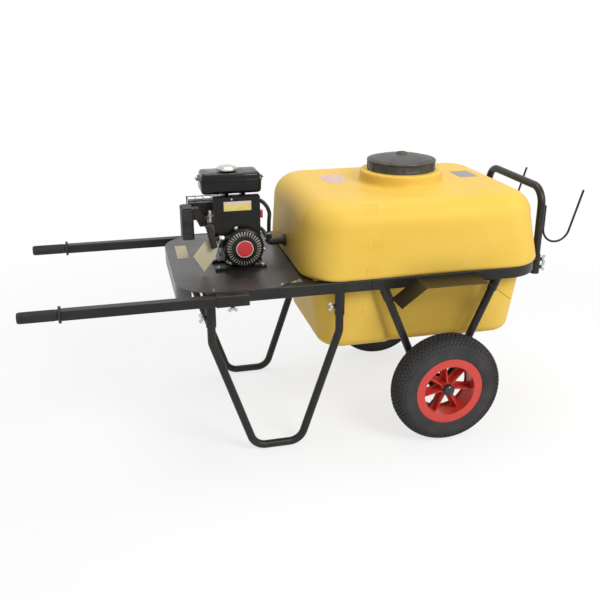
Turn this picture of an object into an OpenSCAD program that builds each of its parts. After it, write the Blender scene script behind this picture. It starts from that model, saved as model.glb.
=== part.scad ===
// Two-wheeled sprayer cart: tubular barrow frame with telescopic handles and legs,
// a two-stage liquid tank, a small four-stroke engine and its spray pump.
// X runs from the handles to the hose hooks, Y across the cart, Z up. Sizes in mm.
// "Right" is the -Y side and "left" the +Y side, as seen by whoever pushes the cart.

/* [Frame] */
// Side of the square frame tube
rail_size = 40; // [30:1:44]
// Wall of the square frame tube
rail_wall = 2; // [1.5:0.5:4]
// Corner radius of the square frame tube
rail_corner = 4; // [4:1:8]
// Distance between the centre lines of the two side rails
rail_spacing = 620; // [600:5:660]
// Height of the rails' centre line above the ground
rail_height = 588; // [560:1:620]
// Distance from the axle to the front end of the rails
rail_front = 832; // [830:1:850]
// Distance from the axle to the joint between side rails and rear loop
rail_splice = 268; // [240:1:300]
// Distance from the axle to the outer face of the rear loop
rail_rear = 395; // [392:1:420]
// Centre-line radius of the two bends of the rear loop
loop_radius = 130; // [115:1:150]
// Diameter of the bent round tubes: legs, wheel supports and hoop
tube_d = 28; // [24:0.5:30]
// Wall of the bent round tubes
tube_wall = 2; // [1.5:0.5:4]
// Wall of the sockets that hold the round tubes
socket_wall = 2.7; // [2:0.1:4]
// Gap between a round tube and its socket, on the radius
socket_gap = 0.3; // [0.2:0.05:0.6]

/* [Handles] */
// Distance from the axle to the end of the grips
handle_reach = 1407; // [1300:1:1500]
// Side of the square handle tube
handle_size = 32; // [28:1:34]
// Wall of the square handle tube
handle_wall = 2; // [1.5:0.5:3]
// Corner radius of the square handle tube
handle_corner = 3; // [3:0.5:6]
// Gap between the handle tube and its sleeve, on each side
handle_gap = 0.5; // [0.3:0.1:1]
// Wall of the handle sleeve
sleeve_wall = 2.5; // [2:0.5:4]
// Length of the handle sleeve
sleeve_length = 107; // [90:1:130]
// Distance from the axle to the front end of the sleeves
sleeve_front = 801; // [790:1:815]
// Length of the grip
grip_length = 129; // [110:1:140]
// Diameter of the grip
grip_d = 35; // [32:0.5:36]
// Wall of the grip
grip_wall = 2.5; // [2:0.5:4]
// Width of the hand stop at the inner end of the grip
grip_flange = 54; // [46:1:60]
// Thickness of the hand stop
grip_flange_t = 7; // [4:1:10]

/* [Legs] */
// Distance from the axle to the front tube of each leg
leg_front = 815; // [812:1:820]
// Distance from the axle to the rear tube of each leg
leg_rear = 376; // [360:1:400]
// Distance from the axle to the front bottom corner of each leg
foot_front = 679; // [640:1:700]
// Distance from the axle to the rear bottom corner of each leg
foot_rear = 515; // [480:1:540]
// Height of the upper bends of the legs
leg_bend = 425; // [380:1:440]
// Centre-line bend radius of the legs
leg_bend_r = 55; // [45:1:70]
// Length of the leg sockets under the rails
leg_socket = 84; // [70:1:95]
// Distance from a socket's lower end to its wing screw
leg_screw_up = 32; // [24:1:44]

/* [Wheels] */
// Tyre diameter
wheel_d = 400; // [380:1:410]
// Tyre width
tyre_w = 98; // [90:1:100]
// Tyre wall
tyre_wall = 9; // [6:0.5:12]
// Distance between the middle planes of the two wheels
track = 762; // [760:1:790]
// Diameter of the rim's bead seat
rim_d = 203; // [195:1:208]
// Diameter of the rim's flanges
rim_flange_d = 246; // [236:1:250]
// Distance between the outer faces of the rim's flanges
rim_w = 86; // [82:1:88]
// Wall of the rim's plastic parts
rim_wall = 4; // [3:0.5:6]
// Number of spokes
spokes = 7; // [5:1:9]
// Direction of the first spoke, in degrees up from the rear
spoke_phase = 94; // [0:1:360]
// Direction of the tyre valve, in degrees up from the rear
valve_phase = -128; // [-136:1:-122]
// Diameter of the stub axle
axle_d = 20; // [16:0.5:22]
// Running clearance of the hub bush on the axle, on the radius
axle_clearance = 0.05; // [0.02:0.01:0.1]
// Wall of the hub bush
bush_wall = 3; // [2:0.5:4]
// Diameter of the hub
hub_d = 44; // [42:1:50]
// Distance from the axle to the middle of the wheel support, towards the handles
support_offset = 8; // [0:1:12]
// Half the spread of the wheel support at the rails
support_spread = 211; // [190:1:225]
// Half the width of the wheel support at its lowest tube
support_foot = 51; // [48:1:60]
// Height of the centre line of the support's lowest tube
support_low = 188; // [184:1:192]
// Centre-line bend radius of the wheel support
support_bend_r = 60; // [45:1:64]
// Length of the support sockets, measured straight down
support_socket = 42; // [36:1:60]

/* [Mudguards] */
// Width of the mudguards
guard_w = 100; // [90:1:110]
// Length of the flat top of the mudguards
guard_flat = 220; // [180:1:240]
// Reach of each sloping flap
guard_flap = 86; // [70:1:95]
// Fall of each sloping flap
guard_drop = 65; // [50:1:80]
// Height of the flat top below the top of the rails
guard_below = 9; // [6:1:14]
// Sheet thickness of the mudguards
guard_t = 2; // [1.5:0.5:3]

/* [Hoop and hose hooks] */
// Distance between the two legs of the hoop
hoop_spacing = 418; // [400:1:440]
// Height of the hoop's top tube above the rails
hoop_rise = 247; // [237:1:292]
// Centre-line bend radius of the hoop
hoop_bend_r = 62; // [45:1:80]
// Length of the hoop's sockets
hoop_socket = 72; // [62:1:80]
// Diameter of the hook rod
hook_d = 8; // [6:0.5:10]
// Height of the hook rod's upper end above the rails
hook_rise = 184; // [172:1:192]
// Height of the centre of the hook's bend above the rails
hook_bend_rise = 98; // [92:1:104]
// Centre-line radius of the hook's bend
hook_bend_r = 54; // [45:1:60]
// Length of the hook's straight outer end
hook_tip = 155; // [120:1:180]
// Lean of the hook's outer end from upright, in degrees
hook_lean = 15.6; // [5:0.1:30]

/* [Tank] */
// Wall of the moulded tank
tank_wall = 5; // [4:0.5:7]
// Distance from the axle to the front of the tank at its widest
tank_front = 498; // [490:1:505]
// Distance from the axle to the rear of the tank at its widest
tank_rear = 388; // [380:1:390]
// Half the width of the tank just above the rails
tank_half_w = 341; // [335:1:345]
// Height of the tank's top
tank_top = 866; // [850:1:880]
// Inward lean of the front wall over the tank's upper body
tank_front_in = 10; // [0:1:20]
// Inward lean of the rear wall over the tank's upper body
tank_rear_in = 36; // [20:1:45]
// Inward lean of the side walls over the tank's upper body
tank_side_in = 6; // [0:1:12]
// Radius of the upright corners of the upper body
tank_corner = 135; // [110:1:150]
// Radius of the rounded top edge
tank_round = 85; // [60:1:95]
// Height of the underside of the tank
well_low = 327; // [310:1:350]
// Distance from the axle to the front of the lower body at the rails
well_front = 452; // [440:1:454]
// Distance from the axle to the rear of the lower body at the rails
well_rear = 345; // [330:1:348]
// Half the width of the lower body at the rails
well_half_w = 278; // [265:1:280]
// Inward lean of the lower body's front wall
well_front_in = 28; // [10:1:40]
// Inward lean of the lower body's rear wall
well_rear_in = 23; // [10:1:40]
// Inward lean of the lower body's side walls
well_side_in = 16; // [8:1:24]
// Radius of the upright corners of the lower body
well_corner = 90; // [80:1:110]
// Radius of the rounded bottom edge
well_round = 40; // [30:1:50]
// Depth of the wheel recess in each side of the lower body
recess_depth = 13; // [8:1:16]
// Length of the wheel recess at the rails
recess_top = 414; // [380:1:440]
// Length of the wheel recess at the underside
recess_low = 246; // [200:1:280]
// Distance from the axle to the middle of the recess, towards the handles
recess_mid = 50; // [30:1:70]
// Distance from the axle to the middle of the filler neck
neck_x = 57; // [40:1:80]
// Diameter of the collar around the filler neck
collar_d = 302; // [290:1:310]
// Height of the collar above the tank's top
collar_h = 44; // [36:1:50]
// Diameter of the filler opening
neck_bore = 220; // [200:1:224]
// Height of the threaded neck above the collar
neck_h = 31; // [28:1:34]

/* [Lid and strainer] */
// Outer diameter of the screw lid
lid_d = 252; // [246:1:260]
// Height of the lid's skirt
lid_skirt = 36; // [33:1:36]
// Height of the lid's dome
dome_h = 18; // [8:1:20]
// Wall of the lid
lid_wall = 4; // [3:0.5:5]
// Depth of the strainer basket
basket_h = 150; // [100:1:200]
// Wall of the strainer basket
basket_wall = 2; // [1.5:0.5:3]
// Number of slots round the strainer basket
basket_slots = 24; // [12:1:30]

/* [Engine deck] */
// Distance from the axle to the front edge of the deck
deck_front = 917; // [900:1:930]
// Distance from the axle to the rear edge of the deck
deck_rear = 501; // [501:1:505]
// Half the width of the deck
deck_half_w = 330; // [326:1:330]
// Sheet thickness of the deck
deck_t = 2.5; // [2:0.5:4]
// Radius of the deck's front corners
deck_corner = 130; // [110:1:140]
// Depth of the deck's turned-down front edge
deck_lip = 58; // [40:1:70]
// Length of the deck's rear corner cuts, along the cart
deck_cut_x = 85; // [60:1:95]
// Width of the deck's rear corner cuts, across the cart
deck_cut_y = 76; // [60:1:90]

/* [Engine] */
// Distance from the axle to the crankshaft
engine_x = 671; // [665:1:680]
// Height of the crankshaft above the deck
crank_h = 84; // [80:1:90]
// Distance from the cart's middle to the outer face of the recoil starter
engine_face = 160; // [155:1:170]
// Diameter of the recoil starter's housing
recoil_d = 134; // [126:1:138]
// Length of the engine's fuel tank
fuel_l = 208; // [190:1:215]
// Width of the engine's fuel tank
fuel_w = 118; // [100:1:130]
// Height of the engine's fuel tank
fuel_h = 70; // [60:1:76]
// Height of the fuel tank's underside above the deck
fuel_up = 262; // [258:1:275]
// Diameter of the crankshaft
crank_d = 20; // [16:1:22]

/* [Pump and hoses] */
// Length of the pump body
pump_l = 96; // [80:1:110]
// Width of the pump body
pump_w = 70; // [60:1:80]
// Outer diameter of the hoses
hose_d = 14; // [12:1:16]
// Bore of the hoses
hose_bore = 8; // [6:1:9]
// Height of the tank outlet above the rails
outlet_up = 60; // [56:1:64]

/* [Hidden] */
$fn = 64;

frame_black = "#2b2a29";
moulded_yellow = "#f0c22e";
rim_red = "#d8382c";
tyre_black = "#303030";
zinc = "#c9c9cc";

eps = 0.01;
bend_slim = 0.03;
bend_lap = 0.5;
contact_gap = 0.3;
wheel_r = wheel_d / 2;
wheel_y = track / 2;
rail_y = rail_spacing / 2;
rail_top = rail_height + rail_size / 2;
rail_bottom = rail_height - rail_size / 2;
rail_outer = rail_y + rail_size / 2;
rail_inner = rail_y - rail_size / 2;
socket_bore = tube_d + 2 * socket_gap;
socket_d = socket_bore + 2 * socket_wall;
sleeve_size = handle_size + 2 * (handle_gap + sleeve_wall);
handle_y = rail_outer + sleeve_size / 2;
sleeve_end = sleeve_front - sleeve_length;
screw_d = 8;
screw_hole = screw_d + 0.3;
nut_h = 6.5;
deck_bolt = 6;
deck_bolt_hole = deck_bolt + 0.6;
loop_x = rail_rear - rail_size / 2 - loop_radius;
loop_y = rail_y - loop_radius;
hoop_y = hoop_spacing / 2;
hoop_reach = loop_radius + rail_size / 2 + socket_d / 2 + contact_gap;
hoop_x = loop_x + sqrt(pow(hoop_reach, 2) - pow(hoop_y - loop_y, 2));
hoop_height = rail_top + hoop_rise;
hook_top = rail_top + hook_rise;
hook_bend_z = rail_top + hook_bend_rise;
hook_x = hoop_x + tube_d / 2 + hook_d / 2;
hook_end = [
    hook_x + hook_bend_r * (1 + cos(hook_lean)) + hook_tip * sin(hook_lean),
    hook_bend_z - hook_bend_r * sin(hook_lean) + hook_tip * cos(hook_lean)
];
cart_rear = hook_end.x + hook_d / 2 * cos(hook_lean);
origin_x = (cart_rear - handle_reach) / 2;
deck_z = rail_top;
deck_top = deck_z + deck_t;
crank_z = deck_top + crank_h;
member_rear = [deck_rear - 1, deck_rear - 1 - rail_size];
collar_top = tank_top + collar_h;
neck_top = collar_top + neck_h;
neck_wall = 7;
neck_d = neck_bore + 2 * neck_wall;
basket_rim = 1.6;
lid_seat = 4;
lid_bottom = neck_top + basket_rim + contact_gap + lid_seat - lid_skirt;
hub_in = 40;
hub_out = 34;
cap_out = 48;
nose_l = 10;
bush_bore = axle_d + 2 * axle_clearance;
bush_d = bush_bore + 2 * bush_wall;
fuel_z = deck_top + fuel_up;
seam_z = fuel_z + 0.66 * fuel_h;

// The whole cart stands with the middle of its length at the origin.
module centred() translate([-origin_x, 0, 0]) children();

// ---------- Shared shapes ----------

// Rectangle with true round corners, centred.
module round_rect(w, h, r) {
    square([w - 2 * r, h], center = true);
    square([w, h - 2 * r], center = true);
    for (sx = [-1, 1], sy = [-1, 1])
        translate([sx * (w / 2 - r), sy * (h / 2 - r)]) circle(r);
}

// Section of a square tube.
module tube_section(size, wall, r) {
    difference() {
        round_rect(size, size, r);
        round_rect(size - 2 * wall, size - 2 * wall, max(r - wall, 0.5));
    }
}

// Square tube along X between two places.
module rail_tube(x0, x1, size, wall, r) {
    translate([x0, 0, 0]) rotate([90, 0, 90])
        linear_extrude(x1 - x0) tube_section(size, wall, r);
}

// Round bar or pin along X, Y or Z from a start point.
module along_x(d, l) rotate([0, 90, 0]) cylinder(d = d, h = l);
module along_y(d, l) rotate([-90, 0, 0]) cylinder(d = d, h = l);

function unit(v) = v / norm(v);
function heading(v) = atan2(v.y, v.x);
function turn(a, b) = let (t = heading(b) - heading(a)) t > 180 ? t - 360 : t < -180 ? t + 360 : t;

// Round bar along a flat path whose inner corners are bent to radius r. The bends are a
// touch slimmer, as drawn tube is, and run a little way into the straight lengths.
module bent_bar(path, r, d, extra = 0) {
    last = len(path) - 1;
    step = [for (i = [0:last - 1]) path[i + 1] - path[i]];
    bend = [for (i = [0:last]) (i == 0 || i == last) ? 0 : turn(step[i - 1], step[i])];
    cut = [for (b = bend) r * tan(abs(b) / 2)];
    for (i = [0:last - 1]) {
        dir = unit(step[i]);
        from = path[i] + dir * (i == 0 ? -extra : cut[i] - bend_lap);
        to = path[i + 1] - dir * (i == last - 1 ? -extra : cut[i + 1] - bend_lap);
        translate([from.x, from.y, 0]) rotate([0, 0, heading(dir)]) along_x(d, norm(to - from));
    }
    for (i = [1:last - 1]) {
        side = sign(bend[i]);
        dir = unit(step[i - 1]);
        start = path[i] - dir * cut[i];
        centre = start + side * r * [-dir.y, dir.x];
        first = heading(dir) - side * 90 - (side < 0 ? abs(bend[i]) : 0);
        translate([centre.x, centre.y, 0]) rotate([0, 0, first])
            rotate_extrude(angle = abs(bend[i])) translate([r, 0]) circle(d = d - 2 * bend_slim);
    }
}

// Bent round tube, open at both ends.
module bent_tube(path, r, d, wall) {
    difference() {
        bent_bar(path, r, d);
        bent_bar(path, r, d - 2 * wall, 1);
    }
}

// Upright tube standing on its lower end.
module upright_tube(d, bore, h) {
    difference() {
        cylinder(d = d, h = h);
        translate([0, 0, -1]) cylinder(d = bore, h = h + 2);
    }
}

// Stands a flat XY drawing up in the XZ plane or in the YZ plane.
module in_xz() rotate([90, 0, 0]) children();
module in_yz() rotate([90, 0, 90]) children();

// Welded-on nut that a wing screw turns in; its axis is +Z, its seat at zero.
module weld_nut() {
    difference() {
        cylinder(d = 15, h = nut_h, $fn = 6);
        translate([0, 0, -1]) cylinder(d = screw_hole, h = nut_h + 2);
    }
}

// Wing screw along +Z, its tip at zero.
module wing_screw(shank) {
    wing_t = 3.5;
    wing_d = 12;
    wing_reach = 10;
    cylinder(d = screw_d, h = shank);
    translate([0, 0, shank]) cylinder(d1 = 14, d2 = 11, h = 7);
    for (s = [-1, 1]) translate([s * wing_reach, wing_t / 2, shank + 9]) rotate([90, 0, 0])
        cylinder(d = wing_d, h = wing_t);
    translate([-wing_reach, -wing_t / 2, shank + 3]) cube([2 * wing_reach, wing_t, 6]);
}

// Hexagon bolt along +Z: head on top of z = 0, shank below.
module hex_bolt(d, l, head) {
    cylinder(d = head, h = 0.65 * d, $fn = 6);
    translate([0, 0, -l]) cylinder(d = d, h = l);
}

// ---------- Frame ----------

module side_rails() color(frame_black) difference() {
    for (side = [-1, 1]) translate([0, side * rail_y, rail_height])
        rail_tube(-rail_front, -rail_splice, rail_size, rail_wall, rail_corner);
    for (p = deck_bolts()) translate([p.x, p.y, rail_top - rail_size / 2])
        cylinder(d = deck_bolt_hole, h = rail_size);
}

module rear_loop() color(frame_black) {
    for (side = [-1, 1]) {
        translate([0, side * rail_y, rail_height])
            rail_tube(-rail_splice, loop_x, rail_size, rail_wall, rail_corner);
        translate([loop_x, side * loop_y, rail_height]) rotate([0, 0, side < 0 ? -90 : 0])
            rotate_extrude(angle = 90) translate([loop_radius, 0])
                tube_section(rail_size, rail_wall, rail_corner);
    }
    translate([rail_rear - rail_size / 2, 0, rail_height]) rotate([0, 0, 90])
        rail_tube(-loop_y, loop_y, rail_size, rail_wall, rail_corner);
}

// Three square tubes between the side rails: front, under the engine, and before the tank.
module cross_members() color(frame_black)
    for (x = [rail_front - rail_size / 2, engine_x, (member_rear[0] + member_rear[1]) / 2])
        translate([-x, 0, rail_height]) rotate([0, 0, 90])
            rail_tube(-rail_inner, rail_inner, rail_size, rail_wall, rail_corner);

// Outline of the deck, drawn in by a margin.
module deck_outline(margin) {
    r = deck_corner - margin;
    w = deck_half_w - margin;
    front = -deck_front + margin;
    translate([front, -deck_half_w + deck_corner]) square([deck_front - deck_rear - margin,
        2 * (deck_half_w - deck_corner)]);
    translate([-deck_front + deck_corner, -w])
        square([deck_front - deck_corner - deck_rear, 2 * w]);
    for (side = [-1, 1])
        translate([-deck_front + deck_corner, side * (deck_half_w - deck_corner)]) circle(r);
}

module engine_deck() color(frame_black) {
    foot_bolt = 9;
    difference() {
        translate([0, 0, deck_z]) linear_extrude(deck_t) difference() {
            deck_outline(0);
            for (side = [-1, 1]) translate([-deck_rear, side * deck_half_w])
                polygon([[1, side], [1, -side * deck_cut_y], [-deck_cut_x, side]]);
        }
        for (p = engine_feet()) translate([p.x, p.y, deck_z - 1])
            cylinder(d = foot_bolt, h = deck_t + 2);
        for (p = deck_bolts()) translate([p.x, p.y, deck_z - 1])
            cylinder(d = deck_bolt_hole, h = deck_t + 2);
    }
    translate([0, 0, deck_z - deck_lip]) linear_extrude(deck_lip + eps) intersection() {
        difference() {
            deck_outline(0);
            deck_outline(deck_t);
        }
        translate([-deck_front, -deck_half_w])
            square([deck_front - rail_front - rail_size, 2 * deck_half_w]);
    }
}

function deck_bolts() = [for (side = [-1, 1], x = [rail_front - 30, deck_rear + deck_cut_x - 11])
    [-x, side * (rail_y + 2)]];

module handle_sleeves() color(frame_black)
    for (side = [-1, 1]) translate([0, side * handle_y, rail_height]) {
        screw_x = -(sleeve_front + sleeve_end) / 2;
        difference() {
            rail_tube(-sleeve_front, -sleeve_end, sleeve_size, sleeve_wall, rail_corner);
            translate([screw_x, 0, -sleeve_size]) cylinder(d = screw_hole, h = sleeve_size);
        }
        translate([screw_x, 0, -sleeve_size / 2]) mirror([0, 0, 1]) weld_nut();
    }

module leg_sockets() color(frame_black)
    for (side = [-1, 1], x = [leg_front, leg_rear])
        translate([-x, side * rail_y, rail_bottom - leg_socket]) {
            difference() {
                upright_tube(socket_d, socket_bore, leg_socket);
                translate([-socket_d, 0, leg_screw_up]) along_x(screw_hole, socket_d);
            }
            difference() {
                translate([-socket_d / 2 + 0.6, 0, leg_screw_up]) rotate([0, -90, 0]) weld_nut();
                translate([0, 0, 0]) cylinder(d = socket_d, h = leg_socket);
            }
        }

support_slope = (support_spread - support_foot) / (rail_bottom - support_low);
support_lean = atan(support_slope);

// Slanted sockets, cut flat where they are welded under the rails.
module support_sockets() color(frame_black)
    for (side = [-1, 1], end = [-1, 1]) difference() {
        translate([-support_offset + end * support_spread, side * rail_y, rail_bottom])
            rotate([0, end * support_lean, 0]) difference() {
                translate([0, 0, -support_socket / cos(support_lean)])
                    cylinder(d = socket_d, h = support_socket / cos(support_lean) + rail_size);
                translate([0, 0, -2 * support_socket])
                    cylinder(d = socket_bore, h = 2 * support_socket + 2 * rail_size);
            }
        translate([-rail_front, side * rail_y - rail_size, rail_bottom])
            cube([2 * rail_front, 2 * rail_size, 3 * rail_size]);
    }

module hoop_sockets() color(frame_black)
    for (side = [-1, 1]) translate([hoop_x, side * hoop_y, rail_top - hoop_socket]) {
        difference() {
            upright_tube(socket_d, socket_bore, hoop_socket);
            for (z = hoop_screws()) translate([0, 0, z]) along_x(screw_hole, socket_d);
        }
        for (z = hoop_screws()) difference() {
            translate([socket_d / 2 - 0.6, 0, z]) rotate([0, 90, 0]) weld_nut();
            cylinder(d = socket_d, h = hoop_socket);
        }
    }

function hoop_screws() = [hoop_socket / 2 - 15, hoop_socket / 2 + 15];

// Wing screws that clamp the handles, the legs and the hoop.
module wing_screws() color(zinc) {
    reach = socket_wall + nut_h + 1;
    for (side = [-1, 1]) {
        translate([-(sleeve_front + sleeve_end) / 2, side * handle_y,
                rail_height - handle_size / 2 - contact_gap]) mirror([0, 0, 1]) wing_screw(reach + 1);
        for (x = [leg_front, leg_rear])
            translate([-x - tube_d / 2 - contact_gap, side * rail_y,
                    rail_bottom - leg_socket + leg_screw_up]) rotate([0, -90, 0]) wing_screw(reach);
        for (z = hoop_screws())
            translate([hoop_x + tube_d / 2 + contact_gap, side * hoop_y,
                    rail_top - hoop_socket + z]) rotate([0, 90, 0]) wing_screw(reach);
    }
}

// ---------- Handles, legs, wheel supports, hoop ----------

module handle(side) color(frame_black) translate([0, side * handle_y, rail_height])
    rail_tube(-handle_reach + grip_length + contact_gap, -sleeve_end, handle_size, handle_wall, handle_corner);

module handle_right() handle(-1);
module handle_left() handle(1);

// Moulded grip: round outside, with a hand stop and a square plug driven into the tube.
module grip(side) color("#1d1d1d") translate([-handle_reach, side * handle_y, rail_height]) {
    plug = handle_size - 2 * handle_wall - 0.4;
    plug_l = 55;
    ribs = 20;
    difference() {
        union() {
            translate([3, 0, 0]) along_x(grip_d, grip_length - 3);
            rotate([0, 90, 0]) cylinder(d1 = grip_d - 5, d2 = grip_d, h = 3 + eps);
            for (i = [0:ribs - 1]) rotate([i * 360 / ribs, 0, 0])
                translate([8, -1, grip_d / 2 - 1]) cube([grip_length - 26, 2, 1.6]);
            translate([grip_length - grip_flange_t, 0, 0]) along_x(grip_flange, grip_flange_t);
            translate([grip_length - 1, -plug / 2, -plug / 2]) cube([plug_l + 1, plug, plug]);
        }
        translate([grip_wall + 2, 0, 0]) along_x(grip_d - 2 * grip_wall - 6, grip_length + plug_l);
    }
}

module grip_right() grip(-1);
module grip_left() grip(1);

module leg(side) color(frame_black) translate([0, side * rail_y, 0]) in_xz()
    bent_tube([
        [-leg_front, rail_bottom - 1],
        [-leg_front, leg_bend],
        [-foot_front, tube_d / 2],
        [-foot_rear, tube_d / 2],
        [-leg_rear, leg_bend],
        [-leg_rear, rail_bottom - 1]
    ], leg_bend_r, tube_d, tube_wall);

module leg_right() leg(-1);
module leg_left() leg(1);

module support(side) color(frame_black) translate([-support_offset, side * rail_y, 0]) in_xz() {
    tip_z = rail_bottom - tube_d / 2 * sin(support_lean) - 1;
    tip_x = support_spread - (rail_bottom - tip_z) * support_slope;
    bent_tube([
        [-tip_x, tip_z], [-support_foot, support_low],
        [support_foot, support_low], [tip_x, tip_z]
    ], support_bend_r, tube_d, tube_wall);
}

module support_right() support(-1);
module support_left() support(1);

module hoop() color(frame_black) translate([hoop_x, 0, 0]) in_yz()
    bent_tube([
        [-hoop_y, rail_top - hoop_socket + 2], [-hoop_y, hoop_height],
        [hoop_y, hoop_height], [hoop_y, rail_top - hoop_socket + 2]
    ], hoop_bend_r, tube_d, tube_wall);

// Two bent rods welded to the back of the hoop; the spray hose hangs in them.
module hose_hooks() color(frame_black)
    for (side = [-1, 1]) translate([0, side * hoop_y, 0]) in_xz() {
        far_x = hook_x + hook_bend_r * (1 + cos(hook_lean));
        far_z = hook_bend_z - hook_bend_r * sin(hook_lean);
        translate([hook_x, hook_bend_z - bend_lap, 0]) rotate([-90, 0, 0])
            cylinder(d = hook_d, h = hook_top - hook_bend_z + bend_lap);
        translate([hook_x + hook_bend_r, hook_bend_z, 0]) rotate([0, 0, 180])
            rotate_extrude(angle = 180 - hook_lean) translate([hook_bend_r, 0])
                circle(d = hook_d - 2 * bend_slim);
        translate([far_x, far_z, 0]) rotate([0, 0, 90 - hook_lean])
            translate([-bend_lap, 0, 0]) along_x(hook_d, hook_tip + bend_lap);
    }

module mudguard(side) color(frame_black) {
    half = guard_flat / 2;
    top = rail_top - guard_below;
    edge = [[-half - guard_flap, top - guard_drop], [-half, top], [half, top],
        [half + guard_flap, top - guard_drop]];
    under = [for (i = [3:-1:0]) edge[i] - [0, guard_t]];
    translate([0, side > 0 ? rail_outer + guard_w : -rail_outer, 0]) in_xz()
        linear_extrude(guard_w) polygon(concat(edge, under));
}

module mudguard_right() mudguard(-1);
module mudguard_left() mudguard(1);

// ---------- Wheels ----------
// Each wheel is drawn with its axis on Z and its outer face up, then laid on its axle.

module on_axle(side) translate([0, side * wheel_y, wheel_r]) rotate([-side * 90, 0, 0])
    mirror([0, side > 0 ? 1 : 0, 0]) children();

// Point on a rounded tyre outline: middle radius, reach and half width.
function tyre_point(a, mid, reach, half, n = 2.6) = [
    mid + reach * sign(cos(a)) * pow(abs(cos(a)), 2 / n),
    half * sign(sin(a)) * pow(abs(sin(a)), 2 / n)
];
module tyre_outline(reach, half) {
    mid = (wheel_r + rim_d / 2) / 2;
    polygon([for (a = [0:10:350]) tyre_point(a, mid, reach, half)]);
}

tyre_reach = (wheel_r - rim_d / 2 - contact_gap) / 2;

module tyre(side) color(tyre_black) on_axle(side) {
    flange_in = rim_w / 2 - rim_wall - contact_gap;
    groove = 3;
    rotate_extrude() difference() {
        translate([contact_gap / 2, 0]) tyre_outline(tyre_reach, tyre_w / 2);
        tyre_outline(tyre_reach - tyre_wall, tyre_w / 2 - tyre_wall);
        translate([0, -tyre_w / 3]) square([rim_d / 2 + 2 * tyre_wall, 2 * tyre_w / 3]);
        for (s = [-1, 1]) translate([0, s > 0 ? flange_in : -flange_in - tyre_w])
            square([rim_flange_d / 2 + contact_gap, tyre_w]);
        for (s = [-1, 0, 1]) translate([wheel_r - groove, s * tyre_w / 5 - groove / 2])
            square([2 * groove, groove]);
    }
}

module inner_tube(side) color("#1b1b1b") on_axle(side) {
    skin = 2;
    reach = tyre_reach - tyre_wall - contact_gap;
    half = tyre_w / 2 - tyre_wall - contact_gap;
    stem = 34;
    difference() {
        rotate_extrude() tyre_outline(reach, half);
        rotate_extrude() tyre_outline(reach - skin, half - skin);
    }
    rotate([0, 0, valve_phase]) translate([rim_d / 2 - stem, 0, 0]) {
        along_x(10, stem + tyre_wall + 1);
        translate([-8, 0, 0]) along_x(7, 8 + eps);
    }
}

module rim(side) color(rim_red) on_axle(side) {
    barrel = rim_d / 2 - rim_wall;
    rib_low = 12;
    rib_deep = hub_out - 2;
    plate_w = 26;
    plate_r = 10;
    difference() {
        union() {
            rotate_extrude() {
                translate([barrel, -rim_w / 2]) square([rim_wall, rim_w]);
                for (z = [-rim_w / 2, rim_w / 2 - rim_wall])
                    translate([barrel - 4, z]) square([rim_flange_d / 2 - barrel + 4, rim_wall]);
            }
            translate([0, 0, -hub_in]) cylinder(d = hub_d, h = hub_in + hub_out - nose_l);
            translate([0, 0, -hub_in]) cylinder(d = hub_d - 8, h = hub_in + hub_out);
            translate([0, 0, -rib_low - rim_wall]) cylinder(d = hub_d + 2 * plate_r, h = rim_wall);
            for (i = [0:spokes - 1]) rotate([0, 0, spoke_phase + i * 360 / spokes]) {
                translate([hub_d / 2 + plate_r / 2, -plate_w / 2, -rib_low - rim_wall + 0.2])
                    cube([barrel - hub_d / 2 - plate_r / 2 + 2, plate_w, rim_wall - 0.4]);
                rotate([90, 0, 0]) translate([0, 0, -rim_wall / 2]) linear_extrude(rim_wall)
                    polygon([[hub_d / 2 - 3, -rib_low - 1], [barrel + 2, -rib_low - 1],
                        [barrel + 2, rib_low], [hub_d / 2 - 3, rib_deep - nose_l]]);
            }
        }
        translate([0, 0, -hub_in - 1]) cylinder(d = bush_d, h = hub_in + hub_out + 2);
        rotate([0, 0, valve_phase]) translate([barrel - 6, 0, 0]) along_x(10.6, 20);
    }
}

module bush(side) color("#b08d57") on_axle(side) translate([0, 0, -hub_in])
    upright_tube(bush_d, bush_bore, hub_in + hub_out);

module hub_cap(side) color("#1b1b1b") on_axle(side) {
    cap_d = hub_d - 3;
    seat = hub_out - nose_l;
    difference() {
        intersection() {
            translate([0, 0, seat]) cylinder(d = cap_d, h = cap_out - seat);
            translate([0, 0, cap_out - 40]) sphere(r = 40);
        }
        translate([0, 0, seat - 1]) cylinder(d = hub_d - 7.6, h = nose_l + 1);
        translate([0, 0, seat]) cylinder(d = hub_d - 10, h = cap_out - seat - 5);
    }
}

// Stub axle with its collar, welded through a plate on the wheel support.
module axle(side) color("#4a4a4a") {
    plate_t = 4;
    plate_w = 64;
    plate_h = 48;
    face = rail_y + tube_d / 2 + contact_gap;
    end = wheel_y + hub_out + 8;
    difference() {
        translate([0, side * face, wheel_r]) rotate([-side * 90, 0, 0]) {
            translate([-plate_w / 2 - support_offset / 2, -plate_h / 2, 0])
                cube([plate_w, plate_h, plate_t]);
            cylinder(d = axle_d, h = end - face);
            cylinder(d = axle_d + 10, h = wheel_y - hub_in - contact_gap - face);
        }
        translate([0, side * (wheel_y + hub_out + 5), wheel_r - axle_d]) cylinder(d = 4.2, h = 2 * axle_d);
    }
}

// Washer and split pin that keep each wheel on its axle.
module axle_fasteners() color(zinc)
    for (side = [-1, 1]) {
        translate([0, side * (wheel_y + hub_out + contact_gap), wheel_r]) rotate([-side * 90, 0, 0])
            upright_tube(axle_d + 10, axle_d + 0.4, 2.2);
        translate([0, side * (wheel_y + hub_out + 5), wheel_r - axle_d / 2 - 4])
            cylinder(d = 4, h = axle_d + 8);
    }

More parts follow.
